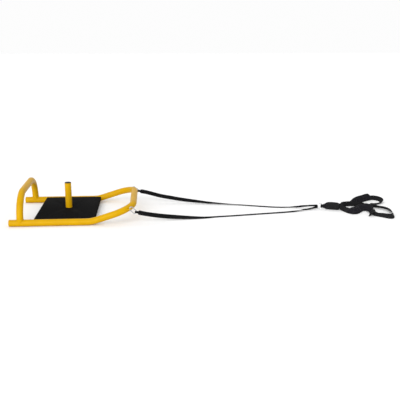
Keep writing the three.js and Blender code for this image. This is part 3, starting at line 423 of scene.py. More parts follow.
def weave_group():
    """Webbing woven in slanting ribs, read from a UV map in metres"""
    tree, given, result = shader_group(
        "Weave", {"UV": None, "Rib Pitch": 0.0022, "Row Pitch": 0.0016, "Slant": 0.6},
        ["Height", "High"])
    place = separated(tree, given["UV"])
    mirrored = maths(tree, "ABSOLUTE", place["X"])
    slanted = plus(tree, place["Y"], times(tree, mirrored, given["Slant"]))
    rows = wave(tree, slanted, given["Row Pitch"])
    ribs = wave(tree, place["X"], given["Rib Pitch"])
    crossed = times(tree, rows, ribs)
    summed = plus(tree, times(tree, ribs, 0.5), crossed)
    yarn = noise(tree, given["UV"], 2600.0, 2.0)
    rough = plus(tree, mapped(tree, summed, -1.5, 1.5), times(tree, yarn, 0.35))
    # High is painted light and shade: the raised tops of the ribs lit, the hollows between them
    # shaded
    wire(tree, result, {"Height": rough, "High": mapped(tree, rough, 0.45, 1.25)})
    return tree


def canvas_group():
    """Plain woven cover cloth, read from a UV map in metres"""
    tree, given, result = shader_group("Canvas", {"UV": None, "Pitch": 0.0011}, ["Height", "High"])
    place = separated(tree, given["UV"])
    crossed = times(tree, *(wave(tree, place[axis], given["Pitch"]) for axis in "XY"))
    slub = noise(tree, given["UV"], 900.0, 3.0)
    rough = plus(tree, mapped(tree, crossed, -1.0, 1.0), times(tree, slub, 0.5))
    # High is painted light and shade: the crossing threads' tops lit, the hollows between them shaded
    wire(tree, result, {"Height": rough, "High": mapped(tree, rough, 0.4, 1.4)})
    return tree


def mixed(tree, share, first, second):
    """Two colours mixed by a mask"""
    made = node(
        tree, "ShaderNodeMix", {"Factor": share, "A": first, "B": second}, data_type="RGBA")
    return made.outputs["Result"]


def opaque(rgb, shade=1.0):
    return (*(part * shade for part in rgb[:3]), 1.0)


def bumped(tree, height, distance, strength=1.0):
    made = node(tree, "ShaderNodeBump", {
        "Height": height, "Distance": distance, "Strength": strength})
    return made.outputs["Normal"]


class Finishes:
    """Every finish of the sled, built once and handed out by name"""

    pale_dust = (0.6, 0.58, 0.55, 1.0)
    grey_dust = (0.35, 0.35, 0.35, 1.0)
    lint = (0.4, 0.39, 0.38, 1.0)
    bare_steel = (0.32, 0.31, 0.30, 1.0)

    def __init__(self):
        self.groups = {
            "grain": grain_group(), "patches": patches_group(), "dust": dust_group(),
            "scuffs": scuffs_group(), "weave": weave_group(), "canvas": canvas_group(),
        }
        self.made = {}

    def start(self, name):
        """A new material's node tree, its shader and the places of its points"""
        material = bpy.data.materials.new(name)
        material.use_nodes = True
        tree = material.node_tree
        self.made[name] = material
        where = node(tree, "ShaderNodeTexCoord").outputs["Object"]
        return tree, tree.nodes["Principled BSDF"], where

    def uv(self, tree):
        return node(tree, "ShaderNodeUVMap", uv_map="Cloth").outputs["UV"]

    def effect(self, tree, group, **inputs):
        """A shared group placed in a material, its inputs named with _ for a space"""
        made = node(tree, "ShaderNodeGroup", node_tree=self.groups[group])
        wire(tree, made, {name.replace("_", " "): value for name, value in inputs.items()})
        return made.outputs

    def patches(self, tree, where, scale, contrast=0.2):
        """A mask of slow unevenness"""
        return self.effect(tree, "patches", Vector=where, Scale=scale, Contrast=contrast)["Mask"]

    def grain(self, tree, where, scale, coarse_share=0.3):
        """The height of a fine pebbled surface"""
        return self.effect(
            tree, "grain", Vector=where, Scale=scale, Coarse_Share=coarse_share)["Height"]

    def dusted(self, tree, base, tone, where, amount, scale=140.0):
        """A colour with a little dust on it"""
        dust = self.effect(tree, "dust", Vector=where, Amount=amount, Scale=scale)["Mask"]
        return mixed(tree, dust, base, tone)

    def powder_coat(self, name, colour, deep, roughness, gloss, peel, scuffed):
        """Baked powder coat with orange peel, uneven film and a little dust"""
        tree, shader, where = self.start(name)
        film = self.patches(tree, where, 9.0)
        base = mixed(tree, film, opaque(colour), opaque(deep))
        base = self.dusted(tree, base, self.pale_dust, where, 0.012)
        if scuffed:
            bare = self.effect(tree, "scuffs", Vector=where)["Mask"]
            base = mixed(tree, bare, base, self.bare_steel)
            wire(tree, shader, {"Metallic": times(tree, bare, 0.8)})
        wire(tree, shader, {
            "Base Color": base,
            "Roughness": mapped(tree, film, 0.0, 1.0, roughness, roughness + 0.08),
            "Normal": bumped(tree, self.grain(tree, where, 650.0), peel),
            "Specular IOR Level": gloss})

    def plastic(self, name, colour):
        """Moulded plastic with a spark-eroded skin"""
        tree, shader, where = self.start(name)
        film = self.patches(tree, where, 40.0)
        base = mixed(tree, film, opaque(colour), opaque(colour, 1.5))
        wire(tree, shader, {
            "Base Color": self.dusted(tree, base, self.grey_dust, where, 0.03),
            "Roughness": mapped(tree, film, 0.0, 1.0, 0.5, 0.64),
            "Normal": bumped(tree, self.grain(tree, where, 2400.0, 0.15), 0.00012),
            "Specular IOR Level": 0.14})

    def plated(self, name, colour, roughness, unevenness, brushed):
        """Plated steel, from bright zinc to polished chrome"""
        tree, shader, where = self.start(name)
        film = self.patches(tree, where, 60.0, 0.25)
        lines = self.grain(tree, stretched(tree, where, (1.0, 14.0, 14.0)), 520.0, 0.1)
        spread = times(tree, lines, unevenness)
        wire(tree, shader, {
            "Base Color": mixed(tree, film, opaque(colour), opaque(colour, 0.82)),
            "Roughness": plus(tree, spread, roughness),
            "Normal": bumped(tree, lines, brushed),
            "Metallic": 1.0})

    def woven(self, name, colour, high, rib_pitch, row_pitch):
        """Webbing with ribs, rows, a painted highlight on the ribs' tops and paler faded patches"""
        tree, shader, where = self.start(name)
        weave = self.effect(
            tree, "weave", UV=self.uv(tree), Rib_Pitch=rib_pitch, Row_Pitch=row_pitch)
        fade = self.patches(tree, where, 22.0)
        # The ribs' tops get a painted highlight from the weave's High mask
        base = mixed(tree, weave["High"], opaque(colour), opaque(high))
        base = mixed(tree, times(tree, fade, 0.25), base, opaque(high, 1.3))
        wire(tree, shader, {
            "Base Color": self.dusted(tree, base, self.lint, where, 0.03, 90.0),
            "Roughness": mapped(tree, weave["High"], 0.0, 1.0, 0.86, 0.68),
            "Normal": bumped(tree, weave["Height"], 0.0004, 0.9),
            "Specular IOR Level": 0.06, "Sheen Weight": 0.012, "Sheen Roughness": 0.5})

    def cloth(self, name, colour, high):
        """Plain woven cover of the pads and the yoke"""
        tree, shader, where = self.start(name)
        uv = self.uv(tree)
        canvas = self.effect(tree, "canvas", UV=uv)
        # Painted sheen: paler streaks stretched along the pads
        painted_sheen_streaks = self.patches(tree, stretched(tree, uv, (5.0, 1.0, 1.0)), 16.0, 0.14)
        # Painted highlight on the tops of the weave, from the canvas's High mask
        base = mixed(tree, canvas["High"], opaque(colour), opaque(high))
        base = mixed(tree, times(tree, painted_sheen_streaks, 0.6), base, opaque(high, 1.5))
        wire(tree, shader, {
            "Base Color": self.dusted(tree, base, self.lint, where, 0.02, 110.0),
            "Roughness": mapped(tree, canvas["High"], 0.0, 1.0, 0.9, 0.74),
            "Normal": bumped(tree, canvas["Height"], 0.0003, 0.8),
            "Specular IOR Level": 0.05, "Sheen Weight": 0.015, "Sheen Roughness": 0.45})

    def twisted_thread(self, name, colour):
        """Sewing thread, twisted"""
        tree, shader, where = self.start(name)
        twist = self.grain(tree, where, 3800.0, 0.5)
        wire(tree, shader, {
            "Base Color": mixed(tree, twist, opaque(colour, 0.6), opaque(colour, 1.8)),
            "Roughness": mapped(tree, twist, 0.0, 1.0, 0.5, 0.7),
            "Normal": bumped(tree, twist, 0.0002)})

    def pale_floor(self, name, colour):
        """Studio floor, hardly uneven"""
        tree, shader, where = self.start(name)
        film = self.patches(tree, where, 0.8)
        wire(tree, shader, {
            "Base Color": mixed(tree, film, opaque(colour), opaque(colour, 0.985)),
            "Roughness": mapped(tree, film, 0.0, 1.0, 0.85, 0.95),
            "Specular IOR Level": 0.2})

    def build(self):
        self.powder_coat(
            "yellow_powder_coat", colours.yellow, colours.deep_yellow,
            roughness=0.3, gloss=0.08, peel=0.00007, scuffed=True)
        self.powder_coat(
            "black_powder_coat", colours.black, opaque(colours.black, 1.25),
            roughness=0.75, gloss=0.02, peel=0.00018, scuffed=False)
        self.plastic("black_moulding", colours.plastic)
        self.plated(
            "bright_zinc", colours.zinc, roughness=0.24, unevenness=0.22, brushed=0.00003)
        self.plated(
            "polished_chrome", colours.chrome, roughness=0.06, unevenness=0.12, brushed=0.00001)
        self.woven(
            "strap_webbing", colours.webbing, colours.webbing_high,
            rib_pitch=0.0026, row_pitch=0.0019)
        self.woven(
            "harness_webbing", colours.webbing, colours.harness_high,
            rib_pitch=0.0031, row_pitch=0.0021)
        self.cloth("pad_cover", colours.cloth, colours.cloth_high)
        self.twisted_thread("sewing_thread", colours.thread)
        self.pale_floor("studio_floor", colours.floor)

    def __getitem__(self, name):
        if not self.made:
            self.build()
        return self.made[name]


finishes = Finishes()


# Mesh helpers

SHARP_ANGLE = math.radians(38)
MERGE_DISTANCE = 1e-6

# The record's material slot that a finish belongs to
SLOTS = {
    "yellow_powder_coat": "yellow_paint", "black_powder_coat": "black_paint",
    "black_moulding": "black_plastic", "bright_zinc": "zinc", "polished_chrome": "chrome",
    "strap_webbing": "webbing", "harness_webbing": "webbing", "sewing_thread": "webbing",
    "pad_cover": "pad_cloth",
}


def linked(name, data):
    """A new object in the scene"""
    made = bpy.data.objects.new(name, data)
    bpy.context.scene.collection.objects.link(made)
    return made


def dressed(name, bm, finish):
    """A new object from a finished bmesh, with its material"""
    mesh = bpy.data.meshes.new(name)
    bm.to_mesh(mesh)
    bm.free()
    mesh.materials.append(finishes[finish])
    return linked(name, mesh)


def add_piece(name, bm, finish, *replaced, body="sled", slot=None):
    """Turns a finished bmesh into a piece that rides on a body of the model"""
    bmesh.ops.recalc_face_normals(bm, faces=bm.faces)
    for face in bm.faces:
        face.smooth = True
    for edge in bm.edges:
        if len(edge.link_faces) == 2 and edge.calc_face_angle(0.0) > SHARP_ANGLE:
            edge.smooth = False
    piece = dressed(name, bm, finish)
    slot = slot or SLOTS[finish]
    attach(piece, body)
    if replaced:
        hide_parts(*replaced)
    return piece


def ease(bm, edges, offset, segments=2, **settings):
    """Rounds edges off"""
    return bmesh.ops.bevel(
        bm, geom=edges, offset=offset, segments=segments, profile=0.5, affect="EDGES",
        material=-1, **settings)


def subdivide(piece, levels):
    made = piece.modifiers.new("Subdivision", "SUBSURF")
    made.levels = levels
    made.render_levels = levels


def finished(piece):
    """The piece as its modifiers make it"""
    return piece.evaluated_get(bpy.context.evaluated_depsgraph_get())


def edges_among(bm, verts):
    inside = set(verts)
    return [edge for edge in bm.edges if inside.issuperset(edge.verts)]


def sharp_edges(edges):
    return [edge for edge in edges if edge.calc_face_angle(0.0) > SHARP_ANGLE]


def end_edges(bm):
    """The edges round the flat ends of rods"""
    return [edge for edge in bm.edges if any(len(face.verts) > 4 for face in edge.link_faces)]


def block(bm, low, high):
    """A square block between two corners"""
    matrix = Matrix.Translation((low + high) / 2) @ Matrix.Diagonal((*(high - low), 1))
    return bmesh.ops.create_cube(bm, size=1.0, matrix=matrix)["verts"]


def ring_at(bm, at, heading, radius, sides, filled=False):
    """A ring of vertices and edges square to a heading"""
    turned = heading.to_track_quat("Z", "Y").to_matrix().to_4x4()
    verts = bmesh.ops.create_circle(
        bm, cap_ends=filled, segments=sides, radius=radius,
        matrix=Matrix.Translation(at) @ turned)["verts"]
    return verts, edges_among(bm, verts)


def full_turn(bm, verts, edges, centre, axis, steps):
    """Spins a profile all the way round and merges what meets"""
    bmesh.ops.spin(
        bm, geom=verts + edges, cent=centre, axis=axis, angle=2 * math.pi, steps=steps,
        use_merge=True)
    bmesh.ops.remove_doubles(bm, verts=bm.verts, dist=MERGE_DISTANCE)


def spun(bm, base, profile, axis, steps):
    """A solid spun round an axis from a profile of x and z places beside its base"""
    verts = [bm.verts.new(base + Vector((x, 0, z))) for x, z in profile]
    edges = [bm.edges.new(pair) for pair in zip(verts, verts[1:])]
    full_turn(bm, verts, edges, base, axis, steps)


def ring_of(geometry):
    """The newest ring of vertices and edges among what an operator grew"""
    verts = [item for item in geometry if isinstance(item, bmesh.types.BMVert)]
    inside = set(verts)
    edges = [
        item for item in geometry
        if isinstance(item, bmesh.types.BMEdge) and inside.issuperset(item.verts)]
    return verts, edges


class TubeRun:
    """A round tube that grows from one ring of edges, along straight runs and bends"""

    fewest_bend_steps = 4

    def __init__(self, bm, start, heading, radius, sides=64):
        self.bm = bm
        self.at = start.copy()
        self.heading = heading.normalized()
        self.verts, self.edges = ring_at(bm, start, self.heading, radius, sides, filled=True)

    def run(self, length, steps=1):
        for _ in range(steps):
            grown = bmesh.ops.extrude_edge_only(self.bm, edges=self.edges)["geom"]
            self.verts, self.edges = ring_of(grown)
            step = self.heading * (length / steps)
            bmesh.ops.translate(self.bm, verts=self.verts, vec=step)
            self.at += step

    def bend(self, radius, turn, axis, step=math.radians(3)):
        inward = axis.cross(self.heading).normalized()
        centre = self.at + inward * radius
        grown = bmesh.ops.spin(
            self.bm, geom=self.verts + self.edges, cent=centre, axis=axis, angle=turn,
            steps=max(self.fewest_bend_steps, round(turn / step)), use_duplicate=False)
        self.verts, self.edges = ring_of(grown["geom_last"])
        rotation = Quaternion(axis, turn)
        self.at = centre - (rotation @ inward) * radius
        self.heading = rotation @ self.heading

    def close(self):
        bmesh.ops.contextual_create(self.bm, geom=self.edges)


def station(at, along, across, wide=1.0, thick=1.0):
    """The matrix that lays a unit outline square to a direction"""
    square = along.cross(across).normalized()
    matrix = Matrix((across * wide, square * thick, along)).transposed().to_4x4()
    matrix.translation = at
    return matrix


def loft(bm, outline, stations, closed=False, distances=None, span=1.0):
    """Grows a shell from a unit outline through stations, and maps it in metres"""
    verts = [bm.verts.new(stations[0] @ Vector((x, y, 0))) for x, y in outline]
    edges = [bm.edges.new((verts[i - 1], verts[i])) for i in range(len(verts))]
    first = edges
    rings = [verts]
    for before, after in zip(stations, stations[1:]):
        grown = bmesh.ops.extrude_edge_only(bm, edges=edges)["geom"]
        verts, edges = ring_of(grown)
        bmesh.ops.transform(bm, matrix=after @ before.inverted(), verts=verts)
        rings.append(verts)
    if closed:
        bmesh.ops.bridge_loops(bm, edges=first + edges)
    else:
        bmesh.ops.contextual_create(bm, geom=first)
        bmesh.ops.contextual_create(bm, geom=edges)
    if distances:
        map_cloth(bm, rings, stations, distances, span)
    return rings


def map_cloth(bm, rings, stations, distances, span):
    """A UV map in metres: across the cloth, and along it"""
    places = {}
    for verts, matrix, distance in zip(rings, stations, distances):
        back = matrix.inverted()
        for vert in verts:
            places[vert] = ((back @ vert.co).x * span, distance)
    layer = bm.loops.layers.uv.get("Cloth") or bm.loops.layers.uv.new("Cloth")
    for face in bm.faces:
        for loop in face.loops:
            if loop.vert in places:
                loop[layer].uv = places[loop.vert]


def turns(count):
    """Even angles round a full turn"""
    return [2 * math.pi * i / count for i in range(count)]


def webbing_outline():
    """A flat band of unit size with rounded, slightly thinner selvages"""
    spans, edge_share = 8, 0.55
    top = [(i / spans - 0.5, 0.5 if 0 < i < spans else edge_share / 2) for i in range(spans + 1)]
    return top + [(x, -y) for x, y in reversed(top)]


def crown(x, edge_share):
    """Thickness of a padded section at a place across it, full in the middle"""
    return edge_share + (1 - edge_share) * math.sqrt(max(0.0, 1 - 4 * x * x))


def crowned_outline(edge_share, points=12):
    """A padded section of unit size, full in the middle and thin at its edges"""
    outline = []
    for face in (-1, 1):
        for i in range(points + 1):
            x = face * (0.5 - i / points)
            outline.append((x, face / 2 * crown(x, edge_share)))
    return outline


def bead(bm, points, radius, closed=True):
    """A weld bead along points, its radius rippled as weld scales are"""
    sides, ripple_share, ripple_turn = 8, 0.07, 1.3
    stations = []
    across = None
    count = len(points)
    for i, point in enumerate(points):
        ahead = points[(i + 1) % count] if closed or i + 1 < count else point
        behind = points[i - 1] if closed or i > 0 else point
        along = (ahead - behind).normalized()
        if across is None:
            across = along.cross(UP if abs(along.z) < 0.9 else FORWARD)
        across = (across - along * across.dot(along)).normalized()
        swollen = radius * (1 + ripple_share * math.sin(i * ripple_turn))
        stations.append(station(point, along, across, swollen, swollen))
    loft(bm, [(math.cos(turn), math.sin(turn)) for turn in turns(sides)], stations, closed)


def move_to(bm, at, along, aside):
    """Moves a piece built at the origin to its place, with its x and y along two directions"""
    turned = Matrix((along, aside, along.cross(aside))).transposed().to_4x4()
    turned.translation = at
    bmesh.ops.transform(bm, matrix=turned, verts=bm.verts)


def fallen(radius, aside):
    """How far a round surface has fallen away beside its crest"""
    return radius - math.sqrt(radius ** 2 - aside ** 2)


# Courses of webbing

# Pitch of the box stitches, in stitch lengths
STITCH_PITCH = 1.3


def smooth(share):
    return share * share * (3 - 2 * share)


def between(start, end, share):
    return start + (end - start) * share


def interval(marks, value):
    """Which rising mark ends the interval that a value is in, and the value's share of it"""
    i = min(max(bisect_left(marks, value), 1), len(marks) - 1)
    return i, (value - marks[i - 1]) / (marks[i] - marks[i - 1])


def leaned(along, lean):
    """Direction of the webbing's width, leaned to the left of the way it runs"""
    upright = (UP - along * along.dot(UP)).normalized()
    return upright * math.cos(lean) + upright.cross(along) * math.sin(lean)


def rest_height(wide, thick, lean):
    """Height of a band's middle when its lower edge lies on the floor"""
    gap = hardware.floor_gap
    return gap + wide / 2 * abs(math.cos(lean)) + thick / 2 * abs(math.sin(lean))


class Course:
    """A smooth course through points with leans, read by distance from its start. The heights
    of a lying course are lifts off the floor, and otherwise those of the band's middle."""

    divisions = 800
    tangent_reach = 0.0001

    def __init__(self, rows, lying=False):
        self.lying = lying
        self.points = [Vector(row[:3]) for row in rows]
        self.leans = [math.radians(row[3]) for row in rows]
        samples = [self.point(i / self.divisions) for i in range(self.divisions + 1)]
        steps = [(b - a).length for a, b in zip(samples, samples[1:])]
        self.lengths = [0.0, *accumulate(steps)]
        self.length = self.lengths[-1]
        per_point = self.divisions / (len(rows) - 1)
        self.marks = [self.lengths[round(i * per_point)] for i in range(len(rows))]

    def point(self, share):
        """A point of the centripetal spline through the points"""
        last = len(self.points) - 1
        place = min(max(share, 0.0), 1.0) * last
        i = min(int(place), last - 1)
        part = place - i
        b, c = self.points[i], self.points[i + 1]
        a = self.points[i - 1] if i > 0 else 2 * b - c
        d = self.points[i + 2] if i + 2 <= last else 2 * c - b
        before, inside, after = (math.sqrt((q - p).length) for p, q in ((a, b), (b, c), (c, d)))
        start = ((b - a) / before - (c - a) / (before + inside) + (c - b) / inside) * inside
        end = ((c - b) / inside - (d - b) / (inside + after) + (d - c) / after) * inside
        square, cube = part * part, part ** 3
        return (b + start * part + (3 * (c - b) - 2 * start - end) * square
                + (2 * (b - c) + start + end) * cube)

    def share_at(self, distance):
        """The spline's own share at a distance along it"""
        target = min(max(distance, 0.0), self.length)
        before = min(bisect_right(self.lengths, target), self.divisions) - 1
        step = self.lengths[before + 1] - self.lengths[before]
        return (before + (target - self.lengths[before]) / step) / self.divisions

    def tangent(self, share):
        low, high = max(share - self.tangent_reach, 0.0), min(share + self.tangent_reach, 1.0)
        return (self.point(high) - self.point(low)).normalized()

    def lean_at(self, distance):
        i, share = interval(self.marks, distance)
        return between(self.leans[i - 1], self.leans[i], min(max(share, 0.0), 1.0))

    def place(self, distance, height, wide, thick):
        """Middle, direction and width direction of the band at a distance"""
        inside = min(max(distance, 0.0), self.length)
        share = self.share_at(inside)
        lean = self.lean_at(inside)
        along = self.tangent(share)
        across = leaned(along, lean)
        at = self.point(share) + along * (distance - inside)
        rest = rest_height(wide, thick, lean) + abs(height * math.sin(lean))
        at.z = at.z + rest if self.lying else max(at.z, rest)
        at += along.cross(across) * height
        return at, along, across

    def path(self, start, end, steps, wide, thick):
        """Middles of the band at even distances from one end to the other"""
        return [
            self.place(between(start, end, i / steps), 0.0, wide, thick)[0]
            for i in range(steps + 1)]


def faced(places, sizes):
    """Stations square to the sweep itself, whose ends keep the direction of the course"""
    last = len(places) - 1
    stations = []
    for i, ((at, along, across), (wide, thick)) in enumerate(zip(places, sizes)):
        sweep = places[min(i + 1, last)][0] - places[max(i - 1, 0)][0]
        facing = along.copy() if i in (0, last) else sweep.copy()
        if facing.dot(sweep) < 0:
            facing.negate()
        facing = (facing - across * facing.dot(across)).normalized()
        stations.append(station(at, facing, across, wide, thick))
    return stations


def band_piece(name, course, marks, finish, replaced):
    """Webbing along marks of distance, height, width and thickness on one course"""
    places = [course.place(*mark) for mark in marks]
    stations = faced(places, [(wide, thick) for _, _, wide, thick in marks])
    distances = [0.0]
    for before, after in zip(places, places[1:]):
        distances.append(distances[-1] + (after[0] - before[0]).length)
    bm = bmesh.new()
    loft(bm, webbing_outline(), stations, distances=distances, span=marks[0][2])
    return add_piece(name, bm, finish, replaced)


def even_marks(start, end, pitch, wide, thick):
    steps = max(2, round((end - start) / pitch))
    return [(between(start, end, i / steps), 0.0, wide, thick) for i in range(steps + 1)]


def sewn_eye(rod, looseness, inside, outside, eye, band, neck, sewn):
    """Marks of a sewn eye round a rod at distance zero: the tail, the fold and the leaving layer"""
    eye_wide, eye_thick = eye
    band_wide, band_thick = band
    fold = rod + looseness + eye_thick / 2
    centre = fold - inside - eye_thick / 2
    layer = (band_thick + straps.layer_gap) / 2
    gather_share = 0.59
    sewn_steps, neck_steps, fold_steps = 8, 12, 10
    half = []
    for i in range(sewn_steps):
        half.append((neck + sewn * (1 - i / sewn_steps), layer, band_wide, band_thick))
    for i in range(neck_steps + 1):
        share = i / neck_steps
        gather = smooth(min(1.0, share / gather_share))
        half.append((
            between(neck, outside, share), between(layer, fold, smooth(share)),
            between(band_wide, eye_wide, gather), between(band_thick, eye_thick, gather)))
    for i in range(fold_steps + 1):
        turn = i / fold_steps * math.pi / 2
        half.append((centre - fold * math.sin(turn), fold * math.cos(turn), eye_wide, eye_thick))
    tail = [(distance, -height, wide, thick) for distance, height, wide, thick in half]
    return tail + half[-2::-1]


def ring_reaches(bend_radius, rod, low, high):
    """Where the middle line of a ring is, for a band between two heights, and how far the band
    must stay inside and outside it"""
    slack = straps.eye_slack
    hub = math.sqrt(bend_radius ** 2 - ((low + high) / 2) ** 2)
    widest = max(abs(low), abs(high))
    nearest = 0.0 if low * high < 0 else min(abs(low), abs(high))
    inside = hub - math.sqrt((bend_radius - rod) ** 2 - widest ** 2) + slack
    outside = math.sqrt((bend_radius + rod) ** 2 - nearest ** 2) - hub + slack
    return hub, inside, outside


def stitch_rows(name, rows):
    """Threads sewn along rows of places, each a middle, a direction and an outward direction"""
    flat_share = 0.8
    squash = Matrix.Diagonal((
        straps.stitch_radius, straps.stitch_radius * flat_share, straps.stitch_length / 2, 1.0))
    bm = bmesh.new()
    for at, along, outward in rows:
        along = along.normalized()
        matrix = station(at, along, outward.cross(along).normalized())
        bmesh.ops.create_icosphere(bm, subdivisions=1, radius=1.0, matrix=matrix @ squash)
    return add_piece(name, bm, "sewing_thread")


def box_and_cross(length, width, pitch):
    """Places of a box stitch with a cross in it: along, across and the direction of the thread"""
    half = width / 2
    corners = [(0, -half), (length, -half), (length, half), (0, half), (0, -half)]
    lines = list(zip(corners, corners[1:])) + [
        ((0, -half), (length, half)), ((0, half), (length, -half))]
    places = []
    for (x0, y0), (x1, y1) in lines:
        reach = math.hypot(x1 - x0, y1 - y0)
        count = max(2, round(reach / pitch))
        for i in range(count):
            share = (i + 0.5) / count
            places.append((
                between(x0, x1, share), between(y0, y1, share),
                (x1 - x0) / reach, (y1 - y0) / reach))
    return places


def sewn_places(course, start, length, width, heights, wide, thick):
    """Box stitches on the faces of a sewn stretch of webbing"""
    rows = []
    pitch = straps.stitch_length * STITCH_PITCH
    for along_by, across_by, run, cross in box_and_cross(length, width, pitch):
        for height in heights:
            at, along, across = course.place(start + along_by, height, wide, thick)
            square = along.cross(across).normalized()
            outward = square if height > 0 else -square
            rows.append((at + across * across_by, along * run + across * cross, outward))
    return rows


# Places shared by the frame, the hardware and the straps

def nose_up():
    return Vector((math.cos(sled.nose_angle), 0, math.sin(sled.nose_angle)))


def nose_tangent():
    return sled.nose_bend_radius * math.tan(sled.nose_angle / 2)


def frame_corner():
    """Where the axes of the near nose and the front bar would meet"""
    reach = nose_tangent() + sled.nose_straight + sled.corner_radius
    bend = Vector((
        REAR + sled.rail_length + nose_tangent(), -sled.rail_spacing / 2, sled.tube_radius))
    return bend + nose_up() * reach


def corner_places(side_name):
    """Where the corner hardware of the near or the far side lies"""
    side = SIDES[side_name]
    rise = nose_up()
    bend_start = frame_corner() - rise * sled.corner_radius
    bend_start.y = side * sled.rail_spacing / 2
    inward = Vector((0, -side, 0))
    turn = hardware.lug_angle
    outward = rise * math.sin(turn) - inward * math.cos(turn)
    sideways = rise * math.cos(turn) + inward * math.sin(turn)
    bend_centre = bend_start + inward * sled.corner_radius
    reach = sled.corner_radius + sled.tube_radius + hardware.lug_stand_off
    eye_centre = bend_centre + outward * reach
    hang = hardware.lug_hook_angle
    bar = (eye_centre + outward * hardware.lug_bend_radius * math.cos(hang)
           + sideways * hardware.lug_bend_radius * math.sin(hang))
    heading = Quaternion(UP, -side * hardware.hook_heading) @ FORWARD

    def tilt(dip):
        return heading * math.cos(math.radians(dip)) - UP * math.sin(math.radians(dip))

    hook_along = tilt(HOOK_DIPS[side_name])
    hook_up = tilt(HOOK_DIPS[side_name] - 90)
    hook_top = bar - hook_along * (hardware.lug_rod + hardware.hook_rod + hardware.link_gap)
    hook_span = hardware.hook_length - 2 * hardware.hook_rod
    strap_along = tilt(STRAP_DIPS[side_name])
    strap_hub = (hook_top + hook_along * (hook_span - hardware.hook_bend_radius)
                 + strap_along * hardware.hook_bend_radius)
    return SimpleNamespace(
        outward=outward, sideways=sideways, eye_centre=eye_centre, hook_top=hook_top,
        hook_along=hook_along, hook_up=hook_up, strap_along=strap_along, strap_hub=strap_hub)


def ring_centre():
    return Vector((
        REAR + hardware.ring_place, hardware.ring_offset,
        hardware.ring_radius + hardware.ring_rod + hardware.floor_gap))


def yoke_start():
    return ring_centre().x + hardware.ring_radius + harness.leader_length


def yoke_places():
    """Middle, height and thickness of the yoke along its length"""
    places = []
    for share, high, thick in YOKE_SHARES:
        wide = harness.yoke_height * high
        rest = rest_height(wide, 0, 0)
        z = max(ring_centre().z + (rest - ring_centre().z) * share, rest)
        at = Vector((
            yoke_start() + share * harness.yoke_length,
            ring_centre().y - harness.yoke_drift * smooth(share), z))
        places.append((at, wide, harness.yoke_thickness * thick))
    return places


def lying_course(shares, origin):
    """A course that lies on the floor in front of the yoke"""
    spread = harness.spread
    return Course([
        (origin.x + x * spread, origin.y + y * spread, lift * spread, lean)
        for x, y, lean, lift in shares], lying=True)


def loop_course(side):
    gap = sled.joint_gap
    origin = Vector((yoke_start() + harness.yoke_length + gap, ring_centre().y, 0))
    return lying_course(LOOP_SHARES[side], origin)


def loop_lengths(side, course):
    """Distances along a loop: the pad's start, the arm webbing's start and the slider"""
    gap = sled.joint_gap
    pad_start = (harness.near_lead if side == "near" else harness.far_lead) + gap
    arm_start = pad_start + harness.pad_length + gap
    if side == "near":
        return pad_start, arm_start, arm_start + harness.near_slider
    return pad_start, arm_start, course.length - harness.far_slider


# Operators

class SLED_OT_stage(bpy.types.Operator):
    """Add the floor, the studio light and the camera"""

    bl_idname = "sled.stage"
    bl_label = "Stage"

    floor_reach = 30.0
    floor_squares = 8
    # Each panel of light: its strength, its spread in degrees and the way it shines
    panels = {
        "key_light": (2.6, 60, (0.4, 0.9, -0.42)),
        "top_light": (0.3, 80, (-0.25, -0.35, -1.0)),
        "back_light": (0.35, 100, (-0.4, -0.9, -0.5)),
    }
    white = (1.0, 1.0, 1.0, 1.0)
    sky_strength = 0.72
    backdrop_strength = 0.98
    image_width = 400
    focal_pixels = 647.9
    sensor_width = 36.0
    view_reach = 100.0
    # The camera's pitch, yaw and roll in degrees, and its place from the rails' rear ends
    camera_turns = (14.95, 4.13, 0.08)
    camera_place = Vector((1.0239, -4.7543, 1.3565))

    def floor(self):
        bm = bmesh.new()
        bmesh.ops.create_grid(
            bm, x_segments=self.floor_squares, y_segments=self.floor_squares,
            size=self.floor_reach)
        floor = dressed("studio_floor", bm, "studio_floor")

    def lights(self):
        """Even light over the whole floor, as from large panels, and a white backdrop"""
        for name, (strength, spread, towards) in self.panels.items():
            light = bpy.data.lights.new(name, "SUN")
            light.energy = strength
            light.angle = math.radians(spread)
            lamp = linked(name, light)
            lamp.rotation_euler = Vector(towards).to_track_quat("-Z", "Y").to_euler()
        world = bpy.data.worlds.new("studio")
        world.use_nodes = True
        tree = world.node_tree
        sky = tree.nodes["Background"]
        wire(tree, sky, {"Color": self.white, "Strength": self.sky_strength})
        backdrop = node(tree, "ShaderNodeBackground", {
            "Color": self.white, "Strength": self.backdrop_strength})
        seen = node(tree, "ShaderNodeLightPath").outputs["Is Camera Ray"]
        both = node(tree, "ShaderNodeMixShader", {
            0: seen, 1: sky.outputs["Background"], 2: backdrop.outputs["Background"]})
        wire(tree, tree.nodes["World Output"], {"Surface": both.outputs["Shader"]})
        bpy.context.scene.world = world
        bpy.context.scene.view_settings.view_transform = "Standard"

    def camera(self):
        pitch, yaw, roll = (math.radians(turn) for turn in self.camera_turns)
        made = bpy.data.cameras.new("camera")
        made.sensor_width = self.sensor_width
        made.lens = made.sensor_width * self.focal_pixels / self.image_width
        made.clip_end = self.view_reach
        ahead = Vector((
            math.sin(yaw) * math.cos(pitch), math.cos(yaw) * math.cos(pitch), -math.sin(pitch)))
        right = Vector((math.cos(yaw), -math.sin(yaw), 0))
        above = right.cross(ahead)
        turned = Matrix((right, above, -ahead)).transposed() @ Matrix.Rotation(roll, 3, "Z")
        place = Matrix.Translation(FORWARD * REAR + self.camera_place)
        camera = linked("camera", made)
        camera.matrix_world = place @ turned.to_4x4()
        bpy.context.scene.camera = camera

    def execute(self, context):
        self.floor()
        self.lights()
        self.camera()
        return {"FINISHED"}


